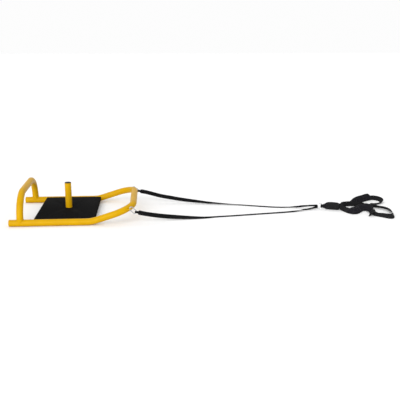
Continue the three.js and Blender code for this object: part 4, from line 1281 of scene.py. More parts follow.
class SLED_OT_tow_straps(bpy.types.Operator):
    """Add the two tow straps, each with a sewn eye at the hook and at the ring"""

    bl_idname = "sled.tow_straps"
    bl_label = "Tow Straps"

    mark_pitch = 0.006
    stitch_inset = 0.003
    path_steps = 120

    def strap(self, side):
        gap = sled.joint_gap
        places = corner_places(side)
        hub = places.strap_hub
        near_top = NEAR_EYE_LOW + straps.ring_eye_width + straps.eyes_apart
        low = NEAR_EYE_LOW if side == "near" else near_top
        ring_hub, ring_inside, ring_outside = ring_reaches(
            hardware.ring_radius, hardware.ring_rod, low, low + straps.ring_eye_width)
        _, hook_inside, hook_outside = ring_reaches(
            hardware.hook_bend_radius, hardware.hook_rod,
            -straps.hook_eye_width / 2, straps.hook_eye_width / 2)
        end = ring_centre() + Vector((-ring_hub, 0, low + straps.ring_eye_width / 2))
        sewn = straps.hook_neck + straps.hook_sewn
        straight = hub + places.strap_along * sewn
        route = [(x + REAR, y, z, lean) for x, y, z, lean in TOW_ROUTES[side]]
        course = Course([(*hub, 0), (*straight, 0), *route, (*end, route[-1][3])])
        band = (straps.width, straps.thickness)
        ring_band = (straps.ring_eye_width, straps.eye_thickness)
        first = sewn_eye(
            hardware.hook_rod, gap, hook_inside, hook_outside,
            (straps.hook_eye_width, straps.eye_thickness), band,
            straps.hook_neck, straps.hook_sewn)
        last = sewn_eye(
            hardware.ring_rod, straps.eye_slack, ring_inside, ring_outside,
            ring_band, ring_band, straps.ring_neck, straps.ring_sewn)
        last = [(course.length - mark[0], *mark[1:]) for mark in reversed(last)]
        free = course.length - sewn - straps.ring_neck - straps.ring_sewn
        steps = round(free / self.mark_pitch)
        middle = []
        for i in range(1, steps):
            share = i / steps
            layer = first[-1][1] if share < 0.5 else last[0][1]
            gather = smooth(max(0.0, 1 - free * (1 - share) / straps.ring_gather))
            wide, thick = (between(a, b, gather) for a, b in zip(band, ring_band))
            middle.append((sewn + free * share, layer * (2 * share - 1) ** 4, wide, thick))
        strap = band_piece(
            f"{side}_tow_webbing", course, first + middle + last, "strap_webbing",
            f"{side}_tow_strap")
        inset = self.stitch_inset
        face = last[0][1] + straps.thickness / 2
        ring_face = last[0][1] + straps.eye_thickness / 2
        rows = sewn_places(
            course, straps.hook_neck + inset, straps.hook_sewn - 2 * inset,
            straps.width - 2 * inset, (-face, face), *band)
        rows += sewn_places(
            course, course.length - straps.ring_neck - straps.ring_sewn + inset,
            straps.ring_sewn - 2 * inset, straps.ring_eye_width - inset,
            (-ring_face, ring_face), *ring_band)
        stitches = stitch_rows(f"{side}_tow_stitches", rows)
        path = course.path(0.0, course.length, self.path_steps, *band)
        return strap, stitches, path, course.length

    def execute(self, context):
        for side in SIDES:
            strap, stitches, path, length = self.strap(side)
            tuple(path[0])
            straps.width
        return {"FINISHED"}


class SLED_OT_frame(bpy.types.Operator):
    """Add the bent frame tube with its welded end caps"""

    bl_idname = "sled.frame"
    bl_label = "Frame"

    disc_steps = 64
    weld_points = 96
    weld_share = 0.45
    # The turn on both sides of the floor that the disc's weld leaves free
    weld_clearance = math.radians(24)

    def tube(self):
        gap = sled.cap_thickness + sled.joint_gap
        start = Vector((REAR + gap, -sled.rail_spacing / 2, sled.tube_radius))
        bend_axis = nose_up().cross(FARWARD)
        bm = bmesh.new()
        tube = TubeRun(bm, start, FORWARD, sled.tube_radius)
        tube.run(sled.rail_length - gap, 8)
        tube.bend(sled.nose_bend_radius, sled.nose_angle, -FARWARD)
        tube.run(sled.nose_straight, 2)
        tube.bend(sled.corner_radius, math.pi / 2, bend_axis)
        tube.run(sled.rail_spacing - 2 * sled.corner_radius, 4)
        tube.bend(sled.corner_radius, math.pi / 2, bend_axis)
        tube.run(sled.nose_straight, 2)
        tube.bend(sled.nose_bend_radius, sled.nose_angle, FARWARD)
        tube.run(sled.rail_length - gap, 8)
        tube.close()
        add_piece("bent_frame", bm, "yellow_powder_coat", "frame_tube")

    def cap(self, side_name):
        """A welded disc, spun from its profile"""
        radius, thick, chamfer = sled.tube_radius, sled.cap_thickness, sled.cap_chamfer
        base = Vector((REAR, SIDES[side_name] * sled.rail_spacing / 2, radius))
        profile = [
            (thick, 0), (thick, radius), (chamfer, radius), (0, radius - chamfer), (0, 0)]
        bm = bmesh.new()
        spun(bm, base, profile, FORWARD, self.disc_steps)
        arc = []
        for i in range(self.weld_points + 1):
            turn = between(
                self.weld_clearance, 2 * math.pi - self.weld_clearance, i / self.weld_points)
            arc.append(base + Vector((thick, radius * math.sin(turn), -radius * math.cos(turn))))
        bead(bm, arc, sled.weld_radius * self.weld_share, closed=False)
        add_piece(
            f"{side_name}_rail_disc", bm, "yellow_powder_coat", f"{side_name}_rail_cap")

    def execute(self, context):
        self.tube()
        for side_name in SIDES:
            self.cap(side_name)
        return {"FINISHED"}


class SLED_OT_push_hoop(bpy.types.Operator):
    """Add the push hoop, welded onto the rails"""

    bl_idname = "sled.push_hoop"
    bl_label = "Push Hoop"

    weld_points = 144

    def hoop(self, place):
        upright = sled.hoop_leg_height - sled.tube_radius
        bend_radius = sled.hoop_height - sled.hoop_leg_height
        start = Vector((place, -sled.rail_spacing / 2, sled.tube_radius))
        bm = bmesh.new()
        tube = TubeRun(bm, start, UP, sled.tube_radius)
        tube.run(upright, 2)
        tube.bend(bend_radius, math.pi / 2, -FORWARD)
        tube.run(sled.rail_spacing - 2 * bend_radius, 4)
        tube.bend(bend_radius, math.pi / 2, -FORWARD)
        tube.run(upright, 2)
        tube.close()
        add_piece("hoop_tube", bm, "yellow_powder_coat", "push_hoop")

    def welds(self, place):
        """Beads along the saddles where the hoop's feet meet the round of the rails"""
        radius = sled.tube_radius
        bm = bmesh.new()
        for side in SIDES.values():
            middle = Vector((place, side * sled.rail_spacing / 2, radius))
            saddle = []
            for turn in turns(self.weld_points):
                y = radius * math.sin(turn)
                rise = math.sqrt(max(0.0, radius ** 2 - y ** 2))
                saddle.append(middle + Vector((radius * math.cos(turn), y, rise)))
            bead(bm, saddle, sled.weld_radius)
        add_piece("hoop_welds", bm, "yellow_powder_coat")

    def execute(self, context):
        place = REAR + sled.hoop_place
        self.hoop(place)
        self.welds(place)
        return {"FINISHED"}


class SLED_OT_deck(bpy.types.Operator):
    """Add the folded deck and the box tube under it that carries the post"""

    bl_idname = "sled.deck"
    bl_label = "Deck"

    edge_ease = 0.0004
    # Each piece, and the node of the model that it is a merged copy of
    pieces = {"folded_deck": "deck_plate", "box_member": "post_cross_member"}

    def execute(self, context):
        for name, source in self.pieces.items():
            bm = bmesh.new()
            bm.from_mesh(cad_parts[source].data)
            bmesh.ops.remove_doubles(bm, verts=bm.verts, dist=MERGE_DISTANCE)
            ease(bm, sharp_edges(bm.edges), self.edge_ease, clamp_overlap=True, loop_slide=True)
            add_piece(name, bm, "black_powder_coat", source)
        return {"FINISHED"}


class SLED_OT_weight_post(bpy.types.Operator):
    """Add the weight post, its weld and its moulded cap"""

    bl_idname = "sled.weight_post"
    bl_label = "Weight Post"

    rim_ease = 0.0012
    weld_points = 120
    cap_steps = 72
    cap_round_share = 0.45
    cap_round_steps = 6
    # The cap's panel is sunk a little, between two shares of its radius
    panel_rim_share = 0.8
    panel_share = 0.76
    panel_depth = 0.0004

    def tube(self, axis, top):
        radius = sled.tube_radius
        bm = bmesh.new()
        post = TubeRun(bm, axis + UP * sled.post_foot, UP, radius)
        post.run(top - sled.post_foot, 4)
        post.close()
        ease(bm, post.edges, self.rim_ease, 3)
        add_piece("post_tube", bm, "yellow_powder_coat", "weight_post")
        bm = bmesh.new()
        ring = [
            axis + Vector((radius * math.cos(turn), radius * math.sin(turn), sled.deck_top))
            for turn in turns(self.weld_points)]
        bead(bm, ring, sled.weld_radius)
        add_piece("post_weld", bm, "black_powder_coat")

    def cap(self, base):
        """A low cap with a rolled rim and a sunk panel, spun from its profile"""
        rim = sled.tube_radius - sled.cap_inset
        high = sled.cap_rim
        round_off = high * self.cap_round_share
        profile = [(0, 0), (rim, 0)]
        for i in range(self.cap_round_steps + 1):
            turn = i / self.cap_round_steps * math.pi / 2
            profile.append((
                rim - round_off * (1 - math.cos(turn)), high - round_off * (1 - math.sin(turn))))
        profile += [
            (rim * self.panel_rim_share, high),
            (rim * self.panel_share, high - self.panel_depth), (0, high - self.panel_depth)]
        bm = bmesh.new()
        spun(bm, base, profile, UP, self.cap_steps)
        add_piece("post_end_cap", bm, "black_moulding", "post_cap")

    def execute(self, context):
        axis = Vector((REAR + sled.post_place, 0, 0))
        top = sled.deck_top + sled.post_height
        self.tube(axis, top)
        self.cap(axis + UP * (top + sled.joint_gap))
        return {"FINISHED"}


class SLED_OT_corner_hardware(bpy.types.Operator):
    """Add the eye lugs and the snap hooks with their gates"""

    bl_idname = "sled.corner_hardware"
    bl_label = "Corner Hardware"

    bend_step = math.radians(6)
    rod_sides = 28
    lug_sink = 0.006
    weld_points = 64
    weld_share = 0.6
    hook_sides = 32
    hook_ease = 0.0006
    # The latch tongue and the hinge tang: half of each one's height, and how far it is sunk in
    # the rod; the tang also reaches past the barrel
    tongue_half = 0.0022
    tongue_sink = 0.002
    tang_half = 0.0026
    tang_sink = 0.0025
    tang_reach = 0.003
    plate_ease = 0.0005
    slot_gap_share = 0.6
    ear_share = 0.82
    ear_round_share = 0.98
    ear_sink = 0.0004
    ear_ease = 0.0003
    pin_sides = 20
    pin_proud = 0.0002
    pin_ease = 0.0003

    def lug(self, side_name, places):
        outward, sideways = places.outward, places.sideways
        axis = outward.cross(sideways)
        radius = hardware.lug_bend_radius
        leg_length = hardware.lug_stand_off + self.lug_sink
        start = places.eye_centre - sideways * radius - outward * leg_length
        bm = bmesh.new()
        rod = TubeRun(bm, start, outward, hardware.lug_rod, self.rod_sides)
        rod.run(leg_length, 2)
        rod.bend(radius, math.pi, axis, self.bend_step)
        rod.run(leg_length, 2)
        rod.close()
        add_piece(f"{side_name}_lug_rod", bm, "yellow_powder_coat", f"{side_name}_eye_lug")
        bm = bmesh.new()
        outer = sled.corner_radius + sled.tube_radius
        for leg in (-1, 1):
            foot = places.eye_centre + sideways * leg * radius - outward * hardware.lug_stand_off
            ring = []
            for turn in turns(self.weld_points):
                aside = hardware.lug_rod * math.cos(turn)
                high = hardware.lug_rod * math.sin(turn)
                fall = fallen(sled.tube_radius, high) + fallen(outer, leg * radius + aside)
                ring.append(foot + sideways * aside + axis * high - outward * fall)
            bead(bm, ring, sled.weld_radius * self.weld_share)
        add_piece(f"{side_name}_lug_welds", bm, "yellow_powder_coat")

    def hang(self, bm, places):
        """Moves a piece built with x along the hook and y towards its gate to its corner"""
        move_to(bm, places.hook_top, places.hook_along, places.hook_up)

    def plate(self, bm, start, end, half, thick):
        """A small plate on the gate's line with rounded corners"""
        line = hardware.hook_bend_radius
        verts = block(
            bm, Vector((start, line - half, -thick / 2)), Vector((end, line + half, thick / 2)))
        ease(bm, edges_among(bm, verts), self.plate_ease)

    def hook(self, side_name, places):
        radius = hardware.hook_bend_radius
        span = hardware.hook_length - 2 * hardware.hook_rod
        bm = bmesh.new()
        rod = TubeRun(
            bm, Vector((hardware.hook_nose, radius, 0)), -FORWARD, hardware.hook_rod, self.hook_sides)
        rod.run(hardware.hook_nose - radius)
        rod.bend(radius, math.pi, UP, self.bend_step)
        rod.run(span - 2 * radius, 3)
        rod.bend(radius, math.pi, UP, self.bend_step)
        rod.run(span - radius - hardware.hook_pin - hardware.barrel_radius - hardware.gate_gap)
        rod.close()
        ease(bm, end_edges(bm), self.hook_ease, 3)
        self.plate(
            bm, hardware.hook_nose - self.tongue_sink, hardware.hook_nose + hardware.tongue_length,
            self.tongue_half, hardware.tongue_thickness)
        self.plate(
            bm, hardware.hook_pin - self.tang_sink,
            hardware.hook_pin + hardware.barrel_radius + self.tang_reach,
            self.tang_half, hardware.tang_thickness)
        self.hang(bm, places)
        add_piece(f"{side_name}_hook_rod", bm, "bright_zinc", f"{side_name}_hook_body")

    def ear(self, bm, face, start, end, inner, round_end=False):
        """One cheek of a slot in the gate's end, square or round about the pin"""
        line = hardware.hook_bend_radius
        half = self.ear_share * hardware.gate_radius
        low, high = sorted((face * inner, face * hardware.gate_radius))
        verts = block(bm, Vector((start, line - half, low)), Vector((end, line + half, high)))
        if round_end:
            corners = [
                edge for edge in edges_among(bm, verts)
                if all(vert.co.x > end - self.ear_ease for vert in edge.verts)
                and abs(edge.verts[0].co.z - edge.verts[1].co.z) > self.ear_ease]
            rounded = ease(bm, corners, self.ear_round_share * half, 8)
            verts = [vert for vert in verts if vert.is_valid] + rounded["verts"]
        ease(bm, sharp_edges(edges_among(bm, verts)), self.ear_ease)

    def gate(self, side_name, places):
        radius = hardware.hook_bend_radius
        slot_end = hardware.hook_nose + hardware.tongue_length + hardware.gate_gap
        barrel_start = hardware.hook_pin - hardware.barrel_radius - hardware.gate_gap
        spare = hardware.gate_gap * self.slot_gap_share
        bm = bmesh.new()
        start = Vector((slot_end, radius, 0))
        rod = TubeRun(bm, start, FORWARD, hardware.gate_radius, self.rod_sides)
        rod.run(barrel_start - slot_end)
        rod.close()
        for face in (-1, 1):
            self.ear(
                bm, face, hardware.hook_nose + hardware.gate_gap, slot_end + self.ear_sink,
                hardware.tongue_thickness / 2 + spare)
            self.ear(
                bm, face, barrel_start - self.ear_sink, hardware.hook_pin + hardware.barrel_radius,
                hardware.tang_thickness / 2 + spare, round_end=True)
        self.hang(bm, places)
        add_piece(
            f"{side_name}_gate_rod", bm, "bright_zinc", f"{side_name}_hook_gate",
            body=f"{side_name}_gate")

    def pin(self, side_name, places):
        reach = hardware.gate_radius + self.pin_proud
        start = Vector((hardware.hook_pin, hardware.hook_bend_radius, -reach))
        bm = bmesh.new()
        rod = TubeRun(bm, start, UP, hardware.pin_radius, self.pin_sides)
        rod.run(2 * reach)
        rod.close()
        ease(bm, end_edges(bm), self.pin_ease)
        self.hang(bm, places)
        add_piece(f"{side_name}_gate_rivet", bm, "bright_zinc", f"{side_name}_gate_pin")

    def execute(self, context):
        for side_name in SIDES:
            places = corner_places(side_name)
            for part in (self.lug, self.hook, self.gate, self.pin):
                part(side_name, places)
        return {"FINISHED"}


class SLED_OT_tow_ring(bpy.types.Operator):
    """Add the tow ring with its flash weld"""

    bl_idname = "sled.tow_ring"
    bl_label = "Tow Ring"

    rod_sides = 24
    sections = 144
    weld_turn = math.radians(52)
    weld_reach = 2
    weld_swell = 0.09

    def weld(self, bm, centre):
        """Swells the rod where its ends were flash welded, high up on the harness's side"""
        radius = hardware.ring_radius
        half_section = radius * math.pi / self.sections
        for i in range(-self.weld_reach, self.weld_reach + 1):
            turn = self.weld_turn + 2 * math.pi * i / self.sections
            middle = centre + (FORWARD * math.cos(turn) + UP * math.sin(turn)) * radius
            along = FORWARD * math.sin(turn) - UP * math.cos(turn)
            section = [
                vert for vert in bm.verts
                if (vert.co - middle).length < radius / 4
                and abs((vert.co - middle).dot(along)) < half_section]
            swell = 1 + self.weld_swell * (1 - abs(i) / (self.weld_reach + 1))
            bmesh.ops.scale(
                bm, vec=(swell, swell, swell), space=Matrix.Translation(-middle), verts=section)

    def execute(self, context):
        centre = ring_centre()
        bm = bmesh.new()
        verts, edges = ring_at(
            bm, centre - FORWARD * hardware.ring_radius, UP, hardware.ring_rod, self.rod_sides)
        full_turn(bm, verts, edges, centre, FARWARD, self.sections)
        self.weld(bm, centre)
        add_piece("welded_ring", bm, "polished_chrome", "tow_ring", body="ring")
        return {"FINISHED"}


class SLED_OT_harness_webbing(bpy.types.Operator):
    """Add the leader, the lead and arm webbing and the adjuster's tail"""

    bl_idname = "sled.harness_webbing"
    bl_label = "Harness Webbing"

    mark_pitch = 0.004
    tail_mark_pitch = 0.003
    path_steps = 100
    tack_inset = 0.003
    tack_length = 0.014
    # The two rows of the tail's hem, in tack insets from its end
    hem_rows = (1.6, 3)

    def leader(self):
        gap = sled.joint_gap
        half = harness.leader_eye_width / 2
        hub, inside, outside = ring_reaches(hardware.ring_radius, hardware.ring_rod, -half, half)
        start = ring_centre() + FORWARD * hub
        end = yoke_places()[0][0] - FORWARD * gap
        course = Course([(*start, 0), (*end, 0)])
        marks = sewn_eye(
            hardware.ring_rod, gap, inside, outside,
            (harness.leader_eye_width, straps.eye_thickness),
            (harness.leader_width, harness.thickness),
            harness.leader_neck, course.length - harness.leader_neck)
        band_piece("leader_webbing", course, marks, "harness_webbing", "harness_leader")

    def tacks(self, side, course, lead, arm_start):
        """Box stitches that hold the webbing to the pad, beside both of its ends"""
        width = harness.width - 2 * self.tack_inset
        face = harness.thickness / 2
        rows = []
        for start in (lead - self.tack_inset - self.tack_length, arm_start + self.tack_inset):
            rows += sewn_places(
                course, start, self.tack_length, width, (-face, face),
                harness.width, harness.thickness)
        return stitch_rows(f"{side}_harness_stitches", rows)

    def tail(self, course, distance):
        gap = sled.joint_gap
        band = (harness.width, harness.thickness)
        at, along, across = course.place(distance, 0.0, *band)
        side = along.cross(across)
        side.z = 0
        start = (Vector((at.x, at.y, 0)) + along * (harness.slider_length / 2 + gap)
                 + side * ((harness.thickness + harness.tail_gap) / side.length_squared))
        heading = math.atan2(along.y, along.x)
        turned = [
            (x * math.cos(heading) + y * math.sin(heading),
             x * math.sin(heading) - y * math.cos(heading), lean, lift)
            for x, y, lean, lift in TAIL_SHARES]
        tail = lying_course(turned, start)
        marks = even_marks(0.0, tail.length, self.tail_mark_pitch, *band)
        band_piece("spare_tail", tail, marks, "harness_webbing", "adjuster_tail")
        rows = []
        pitch = straps.stitch_length * STITCH_PITCH
        count = int((harness.width - 2 * self.tack_inset) / pitch)
        for hem in self.hem_rows:
            at, along, across = tail.place(tail.length - hem * self.tack_inset, 0.0, *band)
            square = along.cross(across).normalized()
            for i in range(count + 1):
                sewn = at + across * pitch * (i - count / 2)
                for face in (square, -square):
                    rows.append((sewn + face * harness.thickness / 2, across, face))
        stitch_rows("tail_stitches", rows)

    def shoulder_strap(self, side):
        """One loop's webbing on both sides of its pad"""
        band = (harness.width, harness.thickness)
        course = loop_course(side)
        pad_start, arm_start, slider = loop_lengths(side, course)
        lead = pad_start - sled.joint_gap
        band_piece(
            f"{side}_lead_band", course, even_marks(0.0, lead, self.mark_pitch, *band),
            "harness_webbing", f"{side}_lead_webbing")
        arm = band_piece(
            f"{side}_arm_band", course,
            even_marks(arm_start, course.length, self.mark_pitch, *band),
            "harness_webbing", f"{side}_arm_webbing")
        path = course.path(course.length, arm_start, self.path_steps, *band)
        tacks = self.tacks(side, course, lead, arm_start)
        free = course.length - arm_start
        tuple(path[0])
        harness.width
        if side == "near":
            self.tail(course, slider)

    def execute(self, context):
        self.leader()
        for side in SIDES:
            self.shoulder_strap(side)
        return {"FINISHED"}


class SLED_OT_yoke(bpy.types.Operator):
    """Add the sewn yoke where the shoulder straps meet"""

    bl_idname = "sled.yoke"
    bl_label = "Yoke"

    core_share = 0.76
    edge_share = 0.5
    fill = 0.8
    # Each ply: where it starts and ends along the yoke, its height, and how far it stands out
    plies = [(0.06, 0.97, 0.88, 0.035), (0.12, 0.88, 0.67, 0.085), (0.2, 0.76, 0.44, 0.13)]
    ply_points = 14
    ply_steps = 30
    ply_thickness_share = 0.05
    ply_edge_share = 0.3
    ply_end_share = 0.14
    seam_inset = 0.004
    seam_pitch = 1.25

    def at_share(self, share):
        """Middle, height and thickness of the yoke at a share of its length"""
        places = yoke_places()
        i, part = interval([row[0] for row in YOKE_SHARES], share)
        return [between(a, b, part) for a, b in zip(places[i - 1], places[i])]

    def face_height(self, x):
        """Half of the core's thickness at a share of its height, as a share of its thickness"""
        return self.core_share * crown(x, self.edge_share) / 2

    def ply(self, bm, side, ply):
        """The folded end of a webbing, sewn flat on a face"""
        start, end, high, lift = ply
        thick = self.ply_thickness_share
        stations, distances = [], []
        for i in range(self.ply_steps + 1):
            at, wide, deep = self.at_share(between(start, end, i / self.ply_steps))
            off_end = min(i, self.ply_steps - i) / self.ply_steps
            rounded = 0.5 + 0.5 * math.sqrt(min(1.0, off_end / self.ply_end_share))
            stations.append(station(at, FORWARD, UP, wide * rounded, deep))
            distances.append(at.x)
        across = [high * (i / self.ply_points - 0.5) for i in range(self.ply_points + 1)]
        outer = [(x, side * (self.face_height(x) + lift)) for x in across]
        inner = [(x, side * (self.face_height(x) + lift - thick)) for x in reversed(across)]
        for i in (0, -1):
            x, y = outer[i]
            outer[i] = (x, y - side * thick * self.ply_edge_share)
        loft(bm, outer + inner, stations, distances=distances,
             span=harness.yoke_height)

    def seam(self, side, ply):
        """Places of the thread round a ply"""
        start, end, high, lift = ply
        length = (end - start) * harness.yoke_length - 2 * self.seam_inset
        height = high * harness.yoke_height - 2 * self.seam_inset
        pitch = straps.stitch_length * self.seam_pitch
        out = FORWARD.cross(UP) * side
        rows = []
        for along_by, across_by, run, cross in box_and_cross(length, height, pitch):
            if run * cross:
                continue
            share = start + (along_by + self.seam_inset) / harness.yoke_length
            at, wide, deep = self.at_share(share)
            x = across_by / harness.yoke_height
            at = at + UP * x * wide + out * deep * (self.face_height(x) + lift)
            rows.append((at, FORWARD * run + UP * cross, out))
        return rows

    def core(self):
        bm = bmesh.new()
        places = yoke_places()
        stations = [
            station(at, FORWARD, UP, wide, thick * self.core_share) for at, wide, thick in places]
        loft(
            bm, crowned_outline(self.edge_share), stations,
            distances=[at.x for at, _, _ in places],
            span=harness.yoke_height)
        yoke = add_piece("yoke_cover", bm, "pad_cover", "harness_yoke", slot="webbing")
        subdivide(yoke, 2)
        self.fill

    def execute(self, context):
        self.core()
        bm = bmesh.new()
        rows = []
        for side in SIDES.values():
            for ply in self.plies:
                self.ply(bm, side, ply)
                rows += self.seam(side, ply)
        plies = add_piece("yoke_plies", bm, "harness_webbing")
        subdivide(plies, 1)
        stitch_rows("yoke_stitches", rows)
        return {"FINISHED"}


class SLED_OT_shoulder_pads(bpy.types.Operator):
    """Add the two padded stretches of the shoulder straps"""

    bl_idname = "sled.shoulder_pads"
    bl_label = "Shoulder Pads"

    seam_share = 0.5
    end_share = 0.66
    edge_share = 0.3
    # Past this share of the width, the cover is held by the binding
    held_share = 0.46
    rows_per_seam = 12
    binding_edge_share = 0.55
    binding_points = 6
    seam_reach = 0.84
    line_share = 0.27
    seam_pitch = 1.35
    reach = 0.03
    frames = 20
    swell_limit = 0.004
    fill = 0.7

    def marks(self, start, steps, seams):
        """Marks of distance, height, width and thickness, drawn in at the ends and the seams"""
        marks = []
        for i in range(steps + 1):
            share = i / steps
            from_end = min(1.0, min(share, 1 - share) * harness.pad_length / harness.pad_end_round)
            drawn_in = between(self.end_share, 1.0, math.sin(from_end * math.pi / 2))
            swell = math.sqrt(abs(math.sin(share * seams * math.pi)))
            marks.append((
                start + share * harness.pad_length, 0.0, harness.pad_width * drawn_in,
                harness.pad_thickness * between(self.seam_share, 1.0, swell)))
        return marks

    def pad(self, side):
        course = loop_course(side)
        start = loop_lengths(side, course)[0]
        seams = round(harness.pad_length / harness.pad_seam_pitch)
        steps = seams * self.rows_per_seam
        marks = self.marks(start, steps, seams)
        held_rows = [i % self.rows_per_seam == 0 for i in range(steps + 1)]
        stations = faced(
            [course.place(*mark) for mark in marks], [(wide, thick) for _, _, wide, thick in marks])
        bm = bmesh.new()
        rings = loft(
            bm, crowned_outline(self.edge_share), stations,
            distances=[mark[0] for mark in marks], span=harness.pad_width)
        held = []
        for verts, matrix, row in zip(rings, stations, held_rows):
            back = matrix.inverted()
            held += [vert for vert in verts if row or abs((back @ vert.co).x) > self.held_share]
        bm.verts.index_update()
        indices = [vert.index for vert in held]
        pad = add_piece(f"{side}_pad_cover", bm, "pad_cover", f"{side}_shoulder_pad")
        pad.vertex_groups.new(name="Sewn").add(indices, 1.0, "REPLACE")
        self.inflate(pad)
        subdivide(pad, 1)
        self.fill
        self.binding(side, stations, marks)
        self.seams(side, pad, stations, held_rows)

    def inflate(self, pad):
        """Swells the cover between its seams by cloth simulation"""
        rest = [vertex.co.copy() for vertex in pad.data.vertices]
        cloth = pad.modifiers.new("Cloth", "CLOTH")
        cloth.settings.quality = 6
        cloth.settings.mass = 0.2
        cloth.settings.tension_stiffness = 10.0
        cloth.settings.compression_stiffness = 10.0
        cloth.settings.bending_stiffness = 0.2
        cloth.settings.use_pressure = True
        cloth.settings.uniform_pressure_force = 4.0
        cloth.settings.effector_weights.gravity = 0.0
        cloth.settings.vertex_group_mass = "Sewn"
        scene = bpy.context.scene
        for step in range(1, self.frames + 1):
            scene.frame_set(step)
        swollen = [vertex.co.copy() for vertex in finished(pad).data.vertices]
        pad.modifiers.remove(cloth)
        gap = hardware.floor_gap
        for vertex, first, last in zip(pad.data.vertices, rest, swollen):
            move = last - first
            if move.length > self.swell_limit:
                move.length = self.swell_limit
            vertex.co = first + move
            vertex.co.z = max(vertex.co.z, gap)
        scene.frame_set(1)

    def binding(self, side, stations, marks):
        """Tape bound round both long edges"""
        floor_gap = hardware.floor_gap
        tape_width = harness.binding_width
        bm = bmesh.new()
        for edge in (-1, 1):
            tape = []
            for matrix, (_, _, wide, thick) in zip(stations, marks):
                across = matrix.col[0].xyz.normalized()
                along = matrix.col[2].xyz.normalized()
                middle = matrix.translation + across * edge * (wide / 2 - tape_width / 3)
                deep = thick * self.edge_share + 2 * harness.binding_thickness
                square = along.cross(across)
                reach = (tape_width * abs(across.z) + deep * abs(square.z)) / 2
                middle.z = max(middle.z, reach + floor_gap)
                tape.append(station(middle, along, across, tape_width, deep))
            loft(
                bm, crowned_outline(self.binding_edge_share, self.binding_points), tape,
                distances=[mark[0] for mark in marks], span=tape_width)
        add_piece(f"{side}_pad_binding", bm, "harness_webbing", slot="pad_cloth")

    def seams(self, side, pad, stations, held_rows):
        """Thread across the pad between its channels and along it, laid on the finished cover"""
        bpy.context.view_layer.update()
        shown = finished(pad)
        pitch = straps.stitch_length * self.seam_pitch
        sewn = []
        for matrix, held in zip(stations[1:-1], held_rows[1:-1]):
            if held:
                count = int(matrix.col[0].xyz.length * self.seam_reach / pitch)
                sewn += [
                    (matrix, (i / count - 0.5) * self.seam_reach, 0) for i in range(count + 1)]
        step = pitch / (stations[1].translation - stations[0].translation).length
        for i in range(int((len(stations) - 1) / step)):
            before = int(i * step)
            part_way = stations[before].lerp(stations[before + 1], i * step - before)
            sewn += [(part_way, self.line_share, 2), (part_way, -self.line_share, 2)]
        rows = []
        for matrix, x, heading in sewn:
            middle = matrix @ Vector((x, 0, 0))
            square = matrix.col[1].xyz.normalized()
            for outward in (-square, square):
                hit, place, _, _ = shown.ray_cast(middle + outward * self.reach, -outward)
                if hit:
                    along = matrix.col[heading].xyz.normalized()
                    rows.append((place + outward * straps.stitch_radius / 3, along, outward))
        stitch_rows(f"{side}_pad_stitches", rows)

    def execute(self, context):
        for side in SIDES:
            self.pad(side)
        return {"FINISHED"}


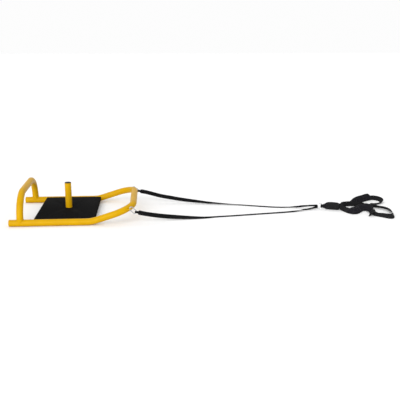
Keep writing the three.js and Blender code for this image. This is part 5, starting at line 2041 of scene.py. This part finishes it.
class SLED_OT_adjusters(bpy.types.Operator):
    """Add the two moulded strap adjusters"""

    bl_idname = "sled.adjusters"
    bl_label = "Strap Adjusters"

    voxel_size = 0.0006
    smoothing = 0.5
    smoothing_rounds = 4

    def slider(self, side):
        """Two side bars joined by three bars across, the middle one below the webbing"""
        inner = harness.thickness / 2 + harness.slider_gap
        outer = inner + harness.slider_sheet
        rim_inner = harness.width / 2 + harness.slider_gap
        rim_outer = rim_inner + harness.slider_rim
        half = harness.slider_length / 2
        bm = bmesh.new()
        for edge in (-1, 1):
            low, high = sorted((edge * rim_inner, edge * rim_outer))
            block(bm, Vector((-half, low, -outer)), Vector((half, high, outer)))
        reach = rim_inner + harness.slider_rim / 2
        for place in (-1, 0, 1):
            start = place * (half - harness.slider_bar / 2) - harness.slider_bar / 2
            low, high = (-outer, -inner) if place == 0 else (inner, outer)
            block(
                bm, Vector((start, -reach, low)),
                Vector((start + harness.slider_bar, reach, high)))
        course = loop_course(side)
        distance = loop_lengths(side, course)[2]
        at, along, across = course.place(distance, 0.0, harness.width, harness.thickness)
        move_to(bm, at, along, across)
        slider = add_piece(
            f"{side}_triglide", bm, "black_moulding", f"{side}_slider", body=f"{side}_adjuster")
        remesh = slider.modifiers.new("Fused", "REMESH")
        remesh.mode = "VOXEL"
        remesh.voxel_size = self.voxel_size
        remesh.use_smooth_shade = True
        eased = slider.modifiers.new("Eased", "SMOOTH")
        eased.factor = self.smoothing
        eased.iterations = self.smoothing_rounds

    def execute(self, context):
        for side in SIDES:
            self.slider(side)
        return {"FINISHED"}


OPERATORS = (
    SLED_OT_stage, SLED_OT_tow_straps, SLED_OT_frame, SLED_OT_push_hoop, SLED_OT_deck,
    SLED_OT_weight_post, SLED_OT_corner_hardware, SLED_OT_tow_ring, SLED_OT_harness_webbing,
    SLED_OT_yoke, SLED_OT_shoulder_pads, SLED_OT_adjusters,
)


class SLED_PT_panel(bpy.types.Panel):
    """Panel with the pieces of the sled"""

    bl_idname = "SLED_PT_panel"
    bl_label = "Drag Sled"
    bl_space_type = "VIEW_3D"
    bl_region_type = "UI"
    bl_category = "Drag Sled"

    def draw(self, context):
        for operator in OPERATORS:
            self.layout.operator(operator.bl_idname)


GROUPS = {
    "frame": FrameSizes, "hardware": HardwareSizes, "straps": StrapSizes,
    "harness": HarnessSizes, "colours": Colours,
}


def register():
    for made in (*GROUPS.values(), *OPERATORS, SLED_PT_panel):
        bpy.utils.register_class(made)
    for name, group in GROUPS.items():
        setattr(bpy.types.Scene, f"sled_{name}", PointerProperty(type=group))


def unregister():
    for name in GROUPS:
        delattr(bpy.types.Scene, f"sled_{name}")
    for made in reversed((*GROUPS.values(), *OPERATORS, SLED_PT_panel)):
        bpy.utils.unregister_class(made)


def main():
    register()
    bpy.ops.sled.stage()
    bpy.ops.sled.tow_straps()
    bpy.ops.sled.frame()
    bpy.ops.sled.push_hoop()
    bpy.ops.sled.deck()
    bpy.ops.sled.weight_post()
    bpy.ops.sled.corner_hardware()
    bpy.ops.sled.tow_ring()
    bpy.ops.sled.harness_webbing()
    bpy.ops.sled.yoke()
    bpy.ops.sled.shoulder_pads()
    bpy.ops.sled.adjusters()
    bpy.context.view_layer.update()


if __name__ == "__main__":
    main()
